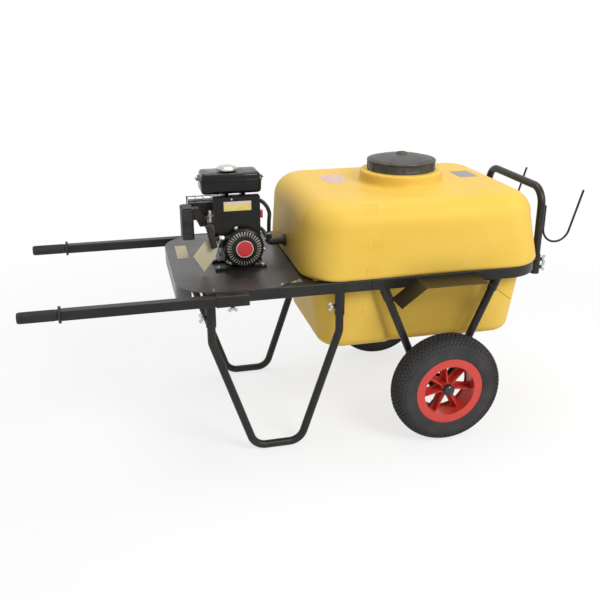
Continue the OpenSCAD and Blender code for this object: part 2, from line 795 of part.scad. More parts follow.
module tyre_right() tyre(-1);
module tyre_left() tyre(1);
module inner_tube_right() inner_tube(-1);
module inner_tube_left() inner_tube(1);
module rim_right() rim(-1);
module rim_left() rim(1);
module bush_right() bush(-1);
module bush_left() bush(1);
module hub_cap_right() hub_cap(-1);
module hub_cap_left() hub_cap(1);
module axle_right() axle(-1);
module axle_left() axle(1);

// ---------- Tank ----------

// Puts one corner piece at each corner of a rectangle of the given half width.
module at_corners(front, rear, half, r) {
    for (x = [-front + r, rear - r], y = [-half + r, half - r])
        translate([x, y, 0]) children();
}

// Disc with a fully rounded rim, lying flat on its middle plane.
module rounded_disc(r, edge) {
    rotate_extrude($fn = 48) intersection() {
        translate([r - edge, 0]) circle(r = edge, $fn = 40);
        translate([0, -edge]) square([r, 2 * edge]);
    }
}

// Upper body: flared walls, big upright corners and a rounded top edge.
module upper_form(t) {
    r_low = tank_corner - t;
    r_top = tank_corner - 5 - t;
    edge = tank_round - t;
    hull() {
        at_corners(tank_front - t, tank_rear - t, tank_half_w - t, r_low)
            translate([0, 0, rail_top + t]) cylinder(r = r_low, h = 12, $fn = 48);
        at_corners(tank_front - tank_front_in - t, tank_rear - tank_rear_in - t,
                tank_half_w - tank_side_in - t, r_top)
            translate([0, 0, tank_top - tank_round]) rounded_disc(r_top, edge);
    }
}

// Lower body: hangs between the rails and narrows downwards.
module lower_form(t) {
    r = well_corner - t;
    edge = well_round - t;
    hull() {
        at_corners(well_front - t, well_rear - t, well_half_w - t, r)
            translate([0, 0, rail_bottom]) cylinder(r = r, h = 2 * rail_size, $fn = 40);
        at_corners(well_front - well_front_in - t, well_rear - well_rear_in - t,
                well_half_w - well_side_in - t, r)
            translate([0, 0, well_low + well_round]) rounded_disc(r, edge);
    }
}

// Tapered pocket in each side wall of the lower body, beside the wheel.
module recess(t) {
    lean = atan(well_side_in / (rail_bottom - well_low));
    height = rail_bottom - well_low - 12;
    for (side = [-1, 1]) translate([-recess_mid, side * (well_half_w - well_side_in - recess_depth - t), well_low])
        rotate([-side * lean, 0, 0]) rotate([90, 0, 0])
            translate([0, 0, side > 0 ? -3 * recess_depth : 0]) linear_extrude(3 * recess_depth)
                polygon([[-recess_low / 2 - t, -recess_depth], [recess_low / 2 + t, -recess_depth],
                    [recess_top / 2 + t, height + t], [-recess_top / 2 - t, height + t]]);
}

module tank() color(moulded_yellow) {
    outlet_hole = 16;
    difference() {
        union() {
            upper_form(0);
            difference() {
                lower_form(0);
                recess(0);
            }
            translate([-neck_x, 0, tank_top - 30]) cylinder(d = collar_d, h = collar_h + 30);
            translate([-neck_x, 0, collar_top - eps]) cylinder(d = neck_d, h = neck_h + eps);
        }
        upper_form(tank_wall);
        difference() {
            lower_form(tank_wall);
            recess(tank_wall);
        }
        translate([-neck_x, 0, rail_top]) cylinder(d = neck_bore, h = tank_top);
        translate([-tank_front - 20, 0, outlet_z]) along_x(outlet_hole, 60);
        translate([-recess_mid - 200, 0, well_low - 10]) cylinder(d = outlet_hole, h = 40);
    }
}

// Screw lid with its rubber seal seat, grip ribs and vent cap.
module tank_lid() color("#232323") translate([-neck_x, 0, lid_bottom]) {
    ribs = 12;
    bore = neck_d + 2;
    difference() {
        union() {
            cylinder(d = lid_d, h = lid_skirt - 4);
            translate([0, 0, lid_skirt - 4]) cylinder(d1 = lid_d, d2 = lid_d - 8, h = 4);
            translate([0, 0, lid_skirt]) dome(lid_d / 2 - 6, dome_h);
            for (i = [0:ribs - 1]) rotate([0, 0, (i + 0.5) * 360 / ribs])
                translate([lid_d / 2 - 3, -2, 2]) cube([4.6, 4, lid_skirt - 8]);
            translate([0, 0, lid_skirt + dome_h - 2]) cylinder(d = 38, h = 8);
        }
        translate([0, 0, -1]) cylinder(d = bore, h = lid_skirt - lid_seat + 1);
        translate([0, 0, lid_skirt - lid_wall]) dome(lid_d / 2 - 18, dome_h);
    }
}

// Low dome of a given base radius and height, standing on z = 0.
module dome(r, h) {
    ball = (r * r + h * h) / (2 * h);
    intersection() {
        translate([0, 0, h - ball]) sphere(r = ball, $fn = 128);
        cylinder(r = r, h = h + 1);
    }
}

module strainer_basket() color("#2f3d46") translate([-neck_x, 0, 0]) {
    outer = neck_bore - 6;
    low = neck_top - basket_h;
    difference() {
        union() {
            translate([0, 0, low]) cylinder(d = outer, h = basket_h);
            translate([0, 0, neck_top]) cylinder(d = neck_bore + 8, h = basket_rim);
        }
        translate([0, 0, low + basket_wall]) cylinder(d = outer - 2 * basket_wall, h = basket_h + 10);
        for (i = [0:basket_slots - 1]) rotate([0, 0, i * 360 / basket_slots])
            translate([outer / 4, -4, low + 14]) cube([outer / 2, 8, basket_h - 60]);
        for (a = [0:60:300]) rotate([0, 0, a]) translate([outer / 4, 0, low - 1]) cylinder(d = 30, h = 10);
    }
}

// Flanged outlet at the front of the tank: a socket along X with an elbow on its end.
outlet_d = 30;
outlet_l = 54;
elbow_x = -tank_front - outlet_l - 6;
outlet_z = rail_top + outlet_up;

module tank_outlet() color("#1c1c1c") {
    wall_low = rail_top + 12;
    lean = atan(tank_front_in / (tank_top - tank_round - wall_low));
    front = -tank_front + (outlet_z - wall_low) * tan(lean);
    difference() {
        union() {
            translate([front, 0, outlet_z]) rotate([0, lean, 0]) translate([-8 - contact_gap, 0, 0])
                along_x(43, 8);
            translate([-tank_front - outlet_l, 0, outlet_z]) along_x(outlet_d, outlet_l);
            translate([front - 8, 0, outlet_z]) along_x(15.4, 8 + tank_wall + 6);
            translate([elbow_x, 0, outlet_z]) rotate([0, 90, 0]) cylinder(d = 26, h = 20, $fn = 6);
            translate([elbow_x + 3, 0, outlet_z]) sphere(d = 22);
            translate([elbow_x + 3, 0, outlet_z]) cylinder(d = 20, h = 24);
            translate([elbow_x + 3, 0, outlet_z + 24 - eps]) cylinder(d = hose_bore - 0.2, h = 16);
            translate([elbow_x + 3, 0, outlet_z]) along_y(hose_bore - 0.2, 25);
        }
        translate([elbow_x + 3, 0, outlet_z]) along_x(5, outlet_l + 60);
        translate([elbow_x + 3, 0, outlet_z]) along_y(5, 40);
        translate([elbow_x + 3, 0, outlet_z]) cylinder(d = 5, h = 60);
    }
}

// Ball valve under the tank with a cross grating in its inlet; its lever turns a quarter.
drain_x = -recess_mid - 200;
module drain_valve() color("#8c8c90") translate([drain_x, 0, well_low]) {
    difference() {
        union() {
            translate([0, 0, -12]) cylinder(d = 34, h = 12 - contact_gap);
            translate([0, 0, -44]) cylinder(d = 26, h = 33);
            translate([0, 0, -60]) cylinder(d = 19, h = 17);
            translate([0, 0, -13]) cylinder(d = 15.4, h = 13 + tank_wall + 6);
            translate([0, -24, -30]) along_y(12, 24);
        }
        translate([0, 0, -70]) cylinder(d = 11, h = 100);
    }
    for (a = [0, 90]) rotate([0, 0, a]) translate([-6, -1, 7]) cube([12, 2, 3]);
}

module drain_lever() color("#b3261e") translate([drain_x, 0, well_low - 30]) {
    translate([0, -28.3, 0]) along_y(14, 4);
    translate([-60, -28.3, -5]) cube([60, 4, 10]);
}

// ---------- Engine ----------

// The engine's four feet stand on the deck and are bolted through it.
function engine_feet() = [for (x = [-78, 78], y = [-115, -25]) [-engine_x - 8 + x, y]];

case_y = -92;
case_l = 100;
case_d = 112;
shroud_y = -engine_face + 34;

module crankcase() color("#26262a") {
    foot_t = 8;
    translate([-engine_x, case_y, 0]) difference() {
        union() {
            translate([0, 0, crank_z]) along_y(case_d, case_l);
            translate([-60, 0, deck_top + foot_t]) cube([120, case_l, 60]);
            for (y = [-34, 56]) translate([-98, y, deck_top]) cube([180, 22, foot_t]);
            for (x = [-60, 38]) translate([x, -34, deck_top]) cube([22, 112, foot_t + 6]);
            translate([0, case_l, crank_z]) along_y(74, 14);
            translate([-58, 10, crank_z]) cube([84, 76, case_d / 2]);
        }
        translate([0, -40, crank_z]) along_y(crank_d + 0.1, case_l + 60);
        translate([0, 12, crank_z]) along_y(84, case_l - 24);
        for (p = engine_feet()) translate([p.x + engine_x, p.y - case_y, deck_top - 1]) cylinder(d = 9, h = 30);
    }
}

// Finned barrel and head above the crankcase.
cylinder_x = -engine_x - 16;
fin_l = 88;
fin_w = 76;
fin_count = 8;
fin_pitch = 9;
barrel_z = crank_z + case_d / 2 + contact_gap;
head_top = barrel_z + fin_count * fin_pitch + 28;

module cylinder_node() color("#5b5c60") translate([cylinder_x, case_y + 48, barrel_z]) {
    cylinder(d = 62, h = fin_count * fin_pitch + 10);
    for (i = [0:fin_count - 1]) translate([-fin_l / 2, -fin_w / 2, 4 + i * fin_pitch])
        cube([fin_l, fin_w, 3]);
    translate([-40, -34, fin_count * fin_pitch + 6]) cube([80, 68, 22]);
}

// Crankshaft with the flywheel and its fan on the starter side and the coupling
// half on the pump side.
flywheel_d = 104;
flywheel_y = shroud_y + 13;
shaft_end = 42;

module crankshaft() color("#8a8a8e") translate([-engine_x, 0, crank_z]) {
    blades = 10;
    web_y = case_y + case_l / 2;
    translate([0, flywheel_y, 0]) along_y(crank_d, shaft_end - flywheel_y);
    translate([0, flywheel_y, 0]) along_y(flywheel_d, 14);
    for (i = [0:blades - 1]) rotate([0, i * 360 / blades, 0])
        translate([flywheel_d / 2 - 22, flywheel_y - 10 + eps, -1.5]) cube([20, 10, 3]);
    translate([0, web_y - 18, 0]) along_y(60, 12);
    translate([0, web_y + 6, 0]) along_y(60, 12);
    translate([0, web_y - 18, 22]) along_y(14, 36);
    translate([0, shaft_end - 12, 0]) along_y(46, 12);
}

// Pressed steel cowling: round over the flywheel, square up the front of the cylinder.
module fan_shroud() color("#242426") translate([-engine_x, shroud_y, 0]) {
    t = 2;
    depth = case_y - contact_gap - shroud_y;
    left = -97;
    right = 62;
    top = fuel_z - 4;
    difference() {
        union() {
            translate([0, 0, crank_z]) along_y(recoil_d + 6, depth);
            translate([left, 0, crank_z]) cube([right - left, depth, top - crank_z]);
        }
        translate([0, t, crank_z]) along_y(recoil_d + 6 - 2 * t, depth);
        translate([left + t, t, crank_z]) cube([right - left - 2 * t, depth, top - crank_z - t]);
        translate([0, -1, crank_z]) along_y(92, t + 2);
    }
}

// Recoil starter housing with a ring of cooling slots round its middle disc.
module recoil_cover() color("#1f1f21") translate([-engine_x, -engine_face, crank_z]) {
    depth = engine_face + shroud_y - 0.3;
    slots = 26;
    rim_t = 3;
    difference() {
        union() {
            translate([0, 7, 0]) along_y(recoil_d, depth - 7);
            translate([0, 0, 0]) rotate([-90, 0, 0]) cylinder(d1 = recoil_d - 22, d2 = recoil_d, h = 7);
            for (a = [10, 130, 250]) rotate([0, a, 0]) translate([recoil_d / 2 - 1.8, depth - 5.5, -9])
                cube([12.4, 5.2, 18]);
            translate([-recoil_d / 2 - guide_l, pull_y, pull_z]) along_x(17, guide_l + 22);
        }
        translate([0, rim_t, 0]) along_y(recoil_d - 22, depth);
        translate([0, 8, 0]) along_y(recoil_d - 2 * rim_t, depth);
        for (i = [0:slots - 1]) rotate([0, i * 360 / slots, 0])
            translate([38, -1, -1.6]) cube([15, 6, 3.2]);
        translate([-recoil_d / 2 - 30, pull_y, pull_z]) along_x(7, 60);
    }
    translate([0, -1.4, 0]) along_y(62, 1.8);
    along_y(14, 22);
}

pulley_r = 38;
rope_d = 3.5;
pull_z = pulley_r + rope_d / 2;
pull_y = 15;
guide_l = 22;
module starter_pulley() color("#e8e4d8") translate([-engine_x, -engine_face + 10, crank_z])
    difference() {
        union() {
            along_y(2 * pulley_r + 8, 3);
            translate([0, 3 - eps, 0]) along_y(2 * pulley_r, 6);
            translate([0, 9 - 2 * eps, 0]) along_y(2 * pulley_r + 8, 3);
        }
        translate([0, -1, 0]) along_y(14.1, 20);
    }

// Pull handle resting at the rope guide, with the stretch of rope inside the housing.
module starter_grip() color("#3a3a3c")
    translate([-engine_x - recoil_d / 2 - guide_l, -engine_face + pull_y, crank_z + pull_z]) {
        pull_l = 80;
        pull_d = 22;
        lean = -12;
        difference() {
            union() {
                translate([-22, 0, 8]) rotate([0, lean, 0]) {
                    translate([0, 0, -pull_l / 2]) cylinder(d = pull_d, h = pull_l);
                    for (z = [-pull_l / 2, pull_l / 2 - 4]) translate([0, 0, z])
                        cylinder(d = pull_d + 2, h = 4);
                }
                translate([-18, 0, 0]) along_x(14, 18 - contact_gap);
            }
            for (z = [-28, -18, 18, 28]) translate([-22, 0, 8]) rotate([0, lean, 0])
                translate([0, 0, z]) rotate_extrude() translate([pull_d / 2 + 1.2, 0]) circle(d = 5);
        }
        translate([-6, 0, 0]) along_x(rope_d, recoil_d / 2 + guide_l + 6);
    }

module fuel_tank() color("#1c1c1c") translate([-engine_x - 28, -40, 0]) {
    t = 1.2;
    seam = 3;
    ear = 12;
    bracket_z = head_top + contact_gap;
    difference() {
        union() {
            for (part = [[fuel_z, seam_z - fuel_z, 0], [seam_z, fuel_z + fuel_h - seam_z, 8]])
                translate([0, 0, part[0]]) linear_extrude(part[1])
                    round_rect(fuel_l - part[2], fuel_w - part[2], 16);
            translate([0, 0, seam_z - 2]) linear_extrude(4)
                round_rect(fuel_l + 2 * seam, fuel_w + 2 * seam, 18);
            translate([-fuel_l / 2 - ear, -20, seam_z - 2]) cube([fuel_l + 2 * ear, 40, 4]);
            translate([-8, -5, fuel_z + fuel_h - eps]) cylinder(d = 44, h = 5);
            for (x = [-22, 36]) translate([x, -30, bracket_z]) cube([14, 50, fuel_z - bracket_z + eps]);
        }
        translate([0, 0, fuel_z + t]) linear_extrude(fuel_h - 2 * t)
            round_rect(fuel_l - 8 - 2 * t, fuel_w - 8 - 2 * t, 12);
        translate([-8, -5, fuel_z + fuel_h - 5]) cylinder(d = 38, h = 20);
    }
}

module fuel_cap() color("#d9d9dc") translate([-engine_x - 36, -45, fuel_z + fuel_h + 5 + contact_gap]) {
    cylinder(d = 70, h = 6);
    translate([0, 0, 6]) cylinder(d1 = 69, d2 = 57, h = 5);
    translate([0, 0, -8]) cylinder(d = 37, h = 9);
    for (a = [0:15:345]) rotate([0, 0, a]) translate([33, -1.2, 0.6]) cube([3, 2.4, 4.8]);
}

// Air filter case beside the carburettor, and the elbow that joins them.
filter_x = -engine_x - 182;
carb_z = crank_z + 78;
carb_x = filter_x + 67.3;

module air_filter() color("#2d2d30") {
    low = deck_top + 112;
    tall = 104;
    pipe_z = carb_z + 38;
    translate([filter_x, -60, low]) difference() {
        union() {
            linear_extrude(tall) round_rect(40, 84, 10);
            translate([0, 0, tall - eps]) linear_extrude(4) round_rect(30, 66, 8);
        }
        translate([0, 0, 3]) linear_extrude(tall - 6) round_rect(34, 78, 7);
        translate([0, -duct_bore / 2, pipe_z - low - duct_bore / 2]) cube([40, duct_bore, duct_bore]);
    }
    translate([0, -60, 0]) difference() {
        duct(filter_x + 19, carb_x - contact_gap, duct_bore + 5);
        duct(filter_x + 18, carb_x, duct_bore);
    }
}

// Square duct that drops from the filter case to the carburettor by two bends.
duct_bore = 22;
module duct(x0, x1, size) {
    path = [[x0, carb_z + 38], [filter_x + 33, carb_z + 38], [filter_x + 51, carb_z], [x1, carb_z]];
    translate([0, size / 2, 0]) rotate([90, 0, 0]) linear_extrude(size) polygon(ribbon(path, size / 2));
}

// Outline of a flat path drawn with a given half-width and mitred corners.
function ribbon(p, h) = let (n = len(p) - 1, d = [for (i = [0:n - 1]) unit(p[i + 1] - p[i])],
    side = [for (i = [0:n]) let (a = d[max(i - 1, 0)], b = d[min(i, n - 1)],
        m = unit([-a.y - b.y, a.x + b.x])) h / (m * [-a.y, a.x]) * m])
    concat([for (i = [0:n]) p[i] + side[i]], [for (i = [n:-1:0]) p[i] - side[i]]);

module carburettor() color("#8d8368") translate([carb_x, -60, carb_z]) {
    body_l = 44;
    flange_l = cylinder_x - fin_l / 2 - contact_gap - carb_x - body_l;
    difference() {
        union() {
            along_x(34, body_l);
            translate([22, 0, -50]) cylinder(d = 34, h = 44);
            translate([22, 0, -56]) cylinder(d = 10, h = 10);
            translate([6, -14, -10]) cube([32, 28, 30]);
            translate([body_l - eps, -20, -16]) cube([flange_l + eps, 40, 32]);
            translate([10, -24, 8]) along_y(8, 12);
        }
        translate([-1, 0, 0]) along_x(20, body_l + flange_l + 2);
    }
}

module choke_lever() color(zinc) translate([carb_x + 10, -84 - contact_gap, carb_z + 8]) {
    translate([0, -3, 0]) along_y(12, 3);
    translate([-4, -3, 0]) cube([8, 3, 34]);
    translate([0, -8, 32]) along_y(10, 8);
}

// Muffler behind the carburettor, on a short pipe from the cylinder.
muffler_at = [-engine_x - 122, 56, crank_z + 62];
muffler_flange = 31;

module muffler() color("#4d4b48") {
    port_y = case_y + 48 + fin_w / 2 + contact_gap;
    port_x = cylinder_x - 27;
    translate(muffler_at) difference() {
        union() {
            translate([-40, -30, 0]) cube([133, 62, 62]);
            translate([-46, -38, muffler_flange - 3]) cube([145, 78, 3]);
            translate([-52, 0, 16]) along_x(14, 20);
        }
        translate([-38, -28, 2]) cube([129, 58, 24]);
        translate([-60, 0, 16]) along_x(10, 30);
    }
    translate([port_x, port_y, muffler_at.z + 40]) along_y(28, muffler_at.y - 29 - port_y);
    translate([port_x - 20, port_y, muffler_at.z + 25]) cube([36, 5, 30]);
}

// Wire cage over the muffler.
module muffler_guard() color("#202020") translate(muffler_at) {
    wire = 3;
    bars = 6;
    ends = [-43, 96];
    sides = [-35, 37];
    span = ends[1] - ends[0];
    for (y = sides) translate([ends[0] - 3, y, 70]) along_x(wire, span + 6);
    for (i = [0:bars - 1]) translate([ends[0] + i * span / (bars - 1), sides[0] - 3, 70 + 0.7 * wire])
        along_y(wire, sides[1] - sides[0] + 6);
    for (x = ends, y = sides) translate([x, y, muffler_flange + contact_gap])
        cylinder(d = wire + 1, h = 38);
}

module stop_switch() color("#c8202a") translate([-engine_x + 62 + contact_gap, shroud_y + 14, crank_z + 108]) {
    along_x(10, 3);
    translate([2, -8, -13]) cube([8, 16, 26]);
}

// Spark plug, oil filler, drain plug, foot bolts and cover screws.
module engine_fittings() color(zinc) {
    for (p = engine_feet()) translate([p.x, p.y, deck_top + 8]) {
        hex_bolt(8, 24, 14);
        translate([0, 0, -17]) cylinder(d = 14, h = 6.5, $fn = 6);
    }
    for (p = deck_bolts()) translate([p.x, p.y, deck_top]) hex_bolt(deck_bolt, 18, 11);
    for (x = [-50, 50]) translate([-engine_x + x, case_y - contact_gap, deck_top + 23])
        rotate([90, 0, 0]) cylinder(d = 14, h = 10);
    translate([cylinder_x + 40 + contact_gap, case_y + 48, head_top - 12]) rotate([0, 90, 0]) {
        cylinder(d = 20, h = 6, $fn = 6);
        cylinder(d = 10, h = 22);
        translate([0, 0, 18]) cylinder(d = 16, h = 12);
    }
}

// ---------- Pump and hoses ----------

pump_x = -engine_x;
pump_y = 62;
coupling_y = case_y + case_l + 14;

module pump() color("#7d7f83") {
    head_y = pump_y + pump_w;
    translate([pump_x, 0, 0]) difference() {
        union() {
            translate([0, coupling_y + contact_gap, crank_z]) along_y(92, pump_y - coupling_y);
            translate([-pump_l / 2, pump_y, crank_z - 46]) cube([pump_l, pump_w, 92]);
            translate([-pump_l / 2 - 8, pump_y, deck_top]) cube([pump_l + 16, 60, 8]);
            translate([-pump_l / 2 + 10, pump_y + 10, deck_top]) cube([pump_l - 20, 30, 42]);
            for (x = [-30, 0, 30]) translate([x, head_y - eps, crank_z]) along_y(28, 42);
            translate([-46, head_y + 20, crank_z - 18]) cube([92, 26, 36]);
            translate([0, pump_y + 36, crank_z + 40]) cylinder(d = 34, h = 28);
            translate([pump_l / 2 - eps, pump_y + 40, crank_z]) along_x(20, 12);
            translate([pump_l / 2 + 11, pump_y + 40, crank_z]) along_x(hose_bore - 0.2, 14);
            translate([30, pump_y + 54, crank_z + 40]) cylinder(d = 16, h = 24);
            translate([30, pump_y + 54, crank_z + 63]) cylinder(d = hose_bore - 0.2, h = 9);
            translate([-62, head_y + 33, crank_z]) along_x(20, 20);
            translate([-outlet_reach, head_y + 33, crank_z]) along_x(outlet_tail, outlet_reach - 60);
        }
        translate([0, coupling_y - 1, crank_z]) along_y(50, pump_y - coupling_y - 8);
        translate([0, coupling_y + 1, crank_z]) along_y(crank_d + 0.2, 80);
        translate([-outlet_reach - 1, head_y + 33, crank_z]) along_x(7, outlet_reach - 10);
    }
}

// Hose tail on the pump that the spray hose is pushed over.
outlet_tail = 13;
outlet_reach = 96;

module pressure_knob() color("#c8202a") translate([pump_x, pump_y + 36, crank_z + 68.3]) {
    cylinder(d = 12, h = 8);
    translate([0, 0, 8 - eps]) cylinder(d = 34, h = 16);
    for (a = [0:45:315]) rotate([0, 0, a]) translate([17, 0, 8]) cylinder(d = 6, h = 16);
}

// Hose centre lines: the overflow arches back to the tank, the suction runs along the deck.
overflow_path = [
    [elbow_x + 3, 0, outlet_z + 26], [elbow_x + 3, 0, outlet_z + 47], [elbow_x + 4, 0, outlet_z + 77],
    [elbow_x + 6, 1, outlet_z + 104], [elbow_x - 2, 4, outlet_z + 127], [elbow_x - 16, 10, outlet_z + 144],
    [elbow_x - 34, 22, outlet_z + 153], [elbow_x - 54, 40, outlet_z + 152],
    [elbow_x - 69, 62, outlet_z + 144], [elbow_x - 78, 86, outlet_z + 133],
    [pump_x + 30.5, pump_y + 44, crank_z + 98], [pump_x + 30, pump_y + 53.5, crank_z + 84],
    [pump_x + 30, pump_y + 54, crank_z + 74], [pump_x + 30, pump_y + 54, crank_z + 66]
];
suction_path = [
    [elbow_x + 3, 16, outlet_z], [elbow_x + 3, 27, outlet_z], [elbow_x + 3, 37, outlet_z + 1],
    [elbow_x + 2, 50, outlet_z + 5], [elbow_x, 64, outlet_z + 12], [elbow_x - 4, 78, outlet_z + 19],
    [elbow_x - 12, 93, outlet_z + 24], [elbow_x - 22, pump_y + 39.6, crank_z],
    [elbow_x - 33, pump_y + 40, crank_z], [pump_x + pump_l / 2 + 12.5, pump_y + 40, crank_z]
];

function cross_dir(t) = unit(cross(t, abs(t.z) < 0.9 ? [0, 0, 1] : [0, 1, 0]));
function path_dir(p, i) = unit(p[min(i + 1, len(p) - 1)] - p[max(i - 1, 0)]);
function hose_ring(p, i, r, sides) = let (t = path_dir(p, i), u = cross_dir(t), v = cross(t, u))
    [for (k = [0:sides - 1]) p[i] + r * (cos(360 * k / sides) * u + sin(360 * k / sides) * v)];

// Smooth curve through the path's points, n steps between each pair.
function spline_at(a, b, c, d, t) = 0.5 * ((2 * b) + (c - a) * t + (2 * a - 5 * b + 4 * c - d) * t * t
    + (3 * b - a - 3 * c + d) * t * t * t);
function smooth(p, n) = concat([for (i = [0:len(p) - 2], k = [0:n - 1])
    spline_at(p[max(i - 1, 0)], p[i], p[i + 1], p[min(i + 2, len(p) - 1)], k / n)], [p[len(p) - 1]]);

// Hollow hose along a curve: outer and inner walls joined by a flat ring at each end.
module hose(p, sides = 14) {
    last = len(p) - 1;
    count = len(p) * sides;
    outer = [for (i = [0:last]) each hose_ring(p, i, hose_d / 2, sides)];
    inner = [for (i = [0:last]) each hose_ring(p, i, hose_bore / 2 / cos(180 / sides), sides)];
    walls = [for (i = [0:last - 1], k = [0:sides - 1]) let (n = (k + 1) % sides, a = i * sides, b = a + sides)
        each [[a + k, a + n, b + n], [a + k, b + n, b + k],
              [count + a + k, count + b + n, count + a + n], [count + a + k, count + b + k, count + b + n]]];
    ends = [for (k = [0:sides - 1]) let (n = (k + 1) % sides, b = last * sides)
        each [[k, count + n, n], [k, count + k, count + n],
              [b + k, b + n, count + b + n], [b + k, count + b + n, count + b + k]]];
    polyhedron(concat(outer, inner), concat(walls, ends), convexity = 6);
}

module hoses() color("#161616")
    for (p = [overflow_path, suction_path]) hose(smooth(p, 2));

// Blank hang tag tied to the rope guide, and a blank card lying on the deck.
module tags() color("#d9d3a8") {
    tag_t = 0.6;
    tie_r = 13.5;
    tie_x = -engine_x - recoil_d / 2 - guide_l + 5;
    tie_y = -engine_face + pull_y;
    tie_z = crank_z + pull_z - 3.5;
    translate([-884, 42, deck_top]) rotate([0, 0, -1]) cube([41, 160, 0.8]);
    translate([tie_x, tie_y + tie_r, tie_z]) rotate([-2, 0, 0]) translate([0, tag_t / 2, 0]) in_xz()
        linear_extrude(tag_t) difference() {
            polygon([[-90, -57], [-55, -114], [-15, -68], [5, -6], [-3, 5], [-48, -8]]);
            circle(d = 3);
        }
    translate([tie_x, tie_y, tie_z]) rotate([0, 90, 0]) rotate_extrude() translate([tie_r, 0]) circle(d = 1.6);
}

centred() side_rails();
centred() rear_loop();
centred() cross_members();
centred() engine_deck();
centred() handle_sleeves();
centred() leg_sockets();
centred() support_sockets();
centred() hoop_sockets();
centred() mudguard_right();
centred() mudguard_left();
centred() support_right();
centred() support_left();
centred() axle_right();
centred() axle_left();
centred() axle_fasteners();
centred() tyre_right();
centred() inner_tube_right();
centred() rim_right();
centred() bush_right();
centred() hub_cap_right();
centred() tyre_left();
centred() inner_tube_left();
centred() rim_left();
centred() bush_left();
centred() hub_cap_left();
centred() handle_right();
centred() handle_left();
centred() grip_right();
centred() grip_left();
centred() leg_right();
centred() leg_left();
centred() wing_screws();
centred() hoop();
centred() hose_hooks();
centred() tank();
centred() tank_lid();
centred() strainer_basket();
centred() tank_outlet();
centred() drain_valve();
centred() drain_lever();
centred() crankcase();
centred() cylinder_node();  // cylinder
centred() crankshaft();
centred() fan_shroud();
centred() recoil_cover();
centred() starter_pulley();
centred() starter_grip();
centred() fuel_tank();
centred() fuel_cap();
centred() air_filter();
centred() carburettor();
centred() choke_lever();
centred() muffler();
centred() muffler_guard();
centred() stop_switch();
centred() pump();
centred() pressure_knob();
centred() hoses();
centred() engine_fittings();
centred() tags();
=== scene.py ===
from math import atan2, copysign, cos, radians, sin, tau

import bmesh
import bpy
from mathutils import Matrix, Vector
from mathutils.bvhtree import BVHTree


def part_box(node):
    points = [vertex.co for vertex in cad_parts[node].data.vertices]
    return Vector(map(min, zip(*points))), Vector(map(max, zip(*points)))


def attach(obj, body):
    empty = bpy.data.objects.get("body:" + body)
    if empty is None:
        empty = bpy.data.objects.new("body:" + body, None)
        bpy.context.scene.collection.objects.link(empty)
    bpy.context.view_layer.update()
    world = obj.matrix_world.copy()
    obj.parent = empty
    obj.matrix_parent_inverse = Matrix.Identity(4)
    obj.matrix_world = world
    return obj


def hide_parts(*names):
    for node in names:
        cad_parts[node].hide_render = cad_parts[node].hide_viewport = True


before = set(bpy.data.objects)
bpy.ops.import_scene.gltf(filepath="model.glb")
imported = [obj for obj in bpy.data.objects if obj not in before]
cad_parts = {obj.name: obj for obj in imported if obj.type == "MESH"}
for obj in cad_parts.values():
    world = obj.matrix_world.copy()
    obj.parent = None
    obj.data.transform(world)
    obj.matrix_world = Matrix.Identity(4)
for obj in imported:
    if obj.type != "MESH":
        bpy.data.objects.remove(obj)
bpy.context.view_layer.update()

# Camera: stands some three metres off the cart's right side, a little towards the
# handles and at eye height, and looks down at the cart through a normal lens.

look_down, lean, heading = 20.67, -0.03, -14.06
eye = bpy.data.cameras.new("eye")
eye.lens = 47.26
eye.sensor_width = 36
eye.shift_x = -0.0103
eye.shift_y = -0.0121
camera = bpy.data.objects.new("camera_stand", eye)
camera.location = (-0.67813, -2.69880, 1.50332)
camera.rotation_euler = (radians(90 - look_down), radians(lean), radians(heading))
bpy.context.scene.collection.objects.link(camera)
bpy.context.scene.camera = camera

# Frame: 40 mm square steel tube, mitred, bent round the rear of the tank and welded,
# with round sockets welded on for the legs, the wheel supports and the hoop. The whole
# weldment is blasted and gets one satin black powder coat.


class Wire:
    """An output socket of a node; sums on it add their own Math nodes."""

    def __init__(self, nodes, socket):
        self.nodes, self.socket = nodes, socket

    def maths(self, operation, *values):
        return self.nodes.node("Math", {"operation": operation}, dict(enumerate(values)))

    def __add__(self, other):
        return self.maths("ADD", self, other)

    def __sub__(self, other):
        return self.maths("SUBTRACT", self, other)

    def __rsub__(self, other):
        return self.maths("SUBTRACT", other, self)

    def __mul__(self, other):
        return self.maths("MULTIPLY", self, other)

    def __abs__(self):
        return self.maths("ABSOLUTE", self)

    def smaller(self, other):
        return self.maths("MINIMUM", self, other)

    def larger(self, other):
        return self.maths("MAXIMUM", self, other)

    def mapped(self, low, high, to_low=0.0, to_high=1.0):
        return self.nodes.node("MapRange", {}, {0: self, 1: low, 2: high, 3: to_low, 4: to_high})


class Nodes:
    """A node tree, filled with nodes by their type, settings and sockets."""

    def __init__(self, tree):
        self.tree = tree

    def node(self, kind, settings, sockets, output=0):
        made = self.tree.nodes.new("ShaderNode" + kind)
        for name, value in settings.items():
            setattr(made, name, value)
        for name, value in sockets.items():
            self.join(made.inputs[name], value)
        return Wire(self, made.outputs[output])

    def join(self, socket, value):
        if isinstance(value, Wire):
            self.tree.links.new(value.socket, socket)
        elif socket.type == "RGBA":
            socket.default_value = (*value, 1)
        else:
            socket.default_value = value


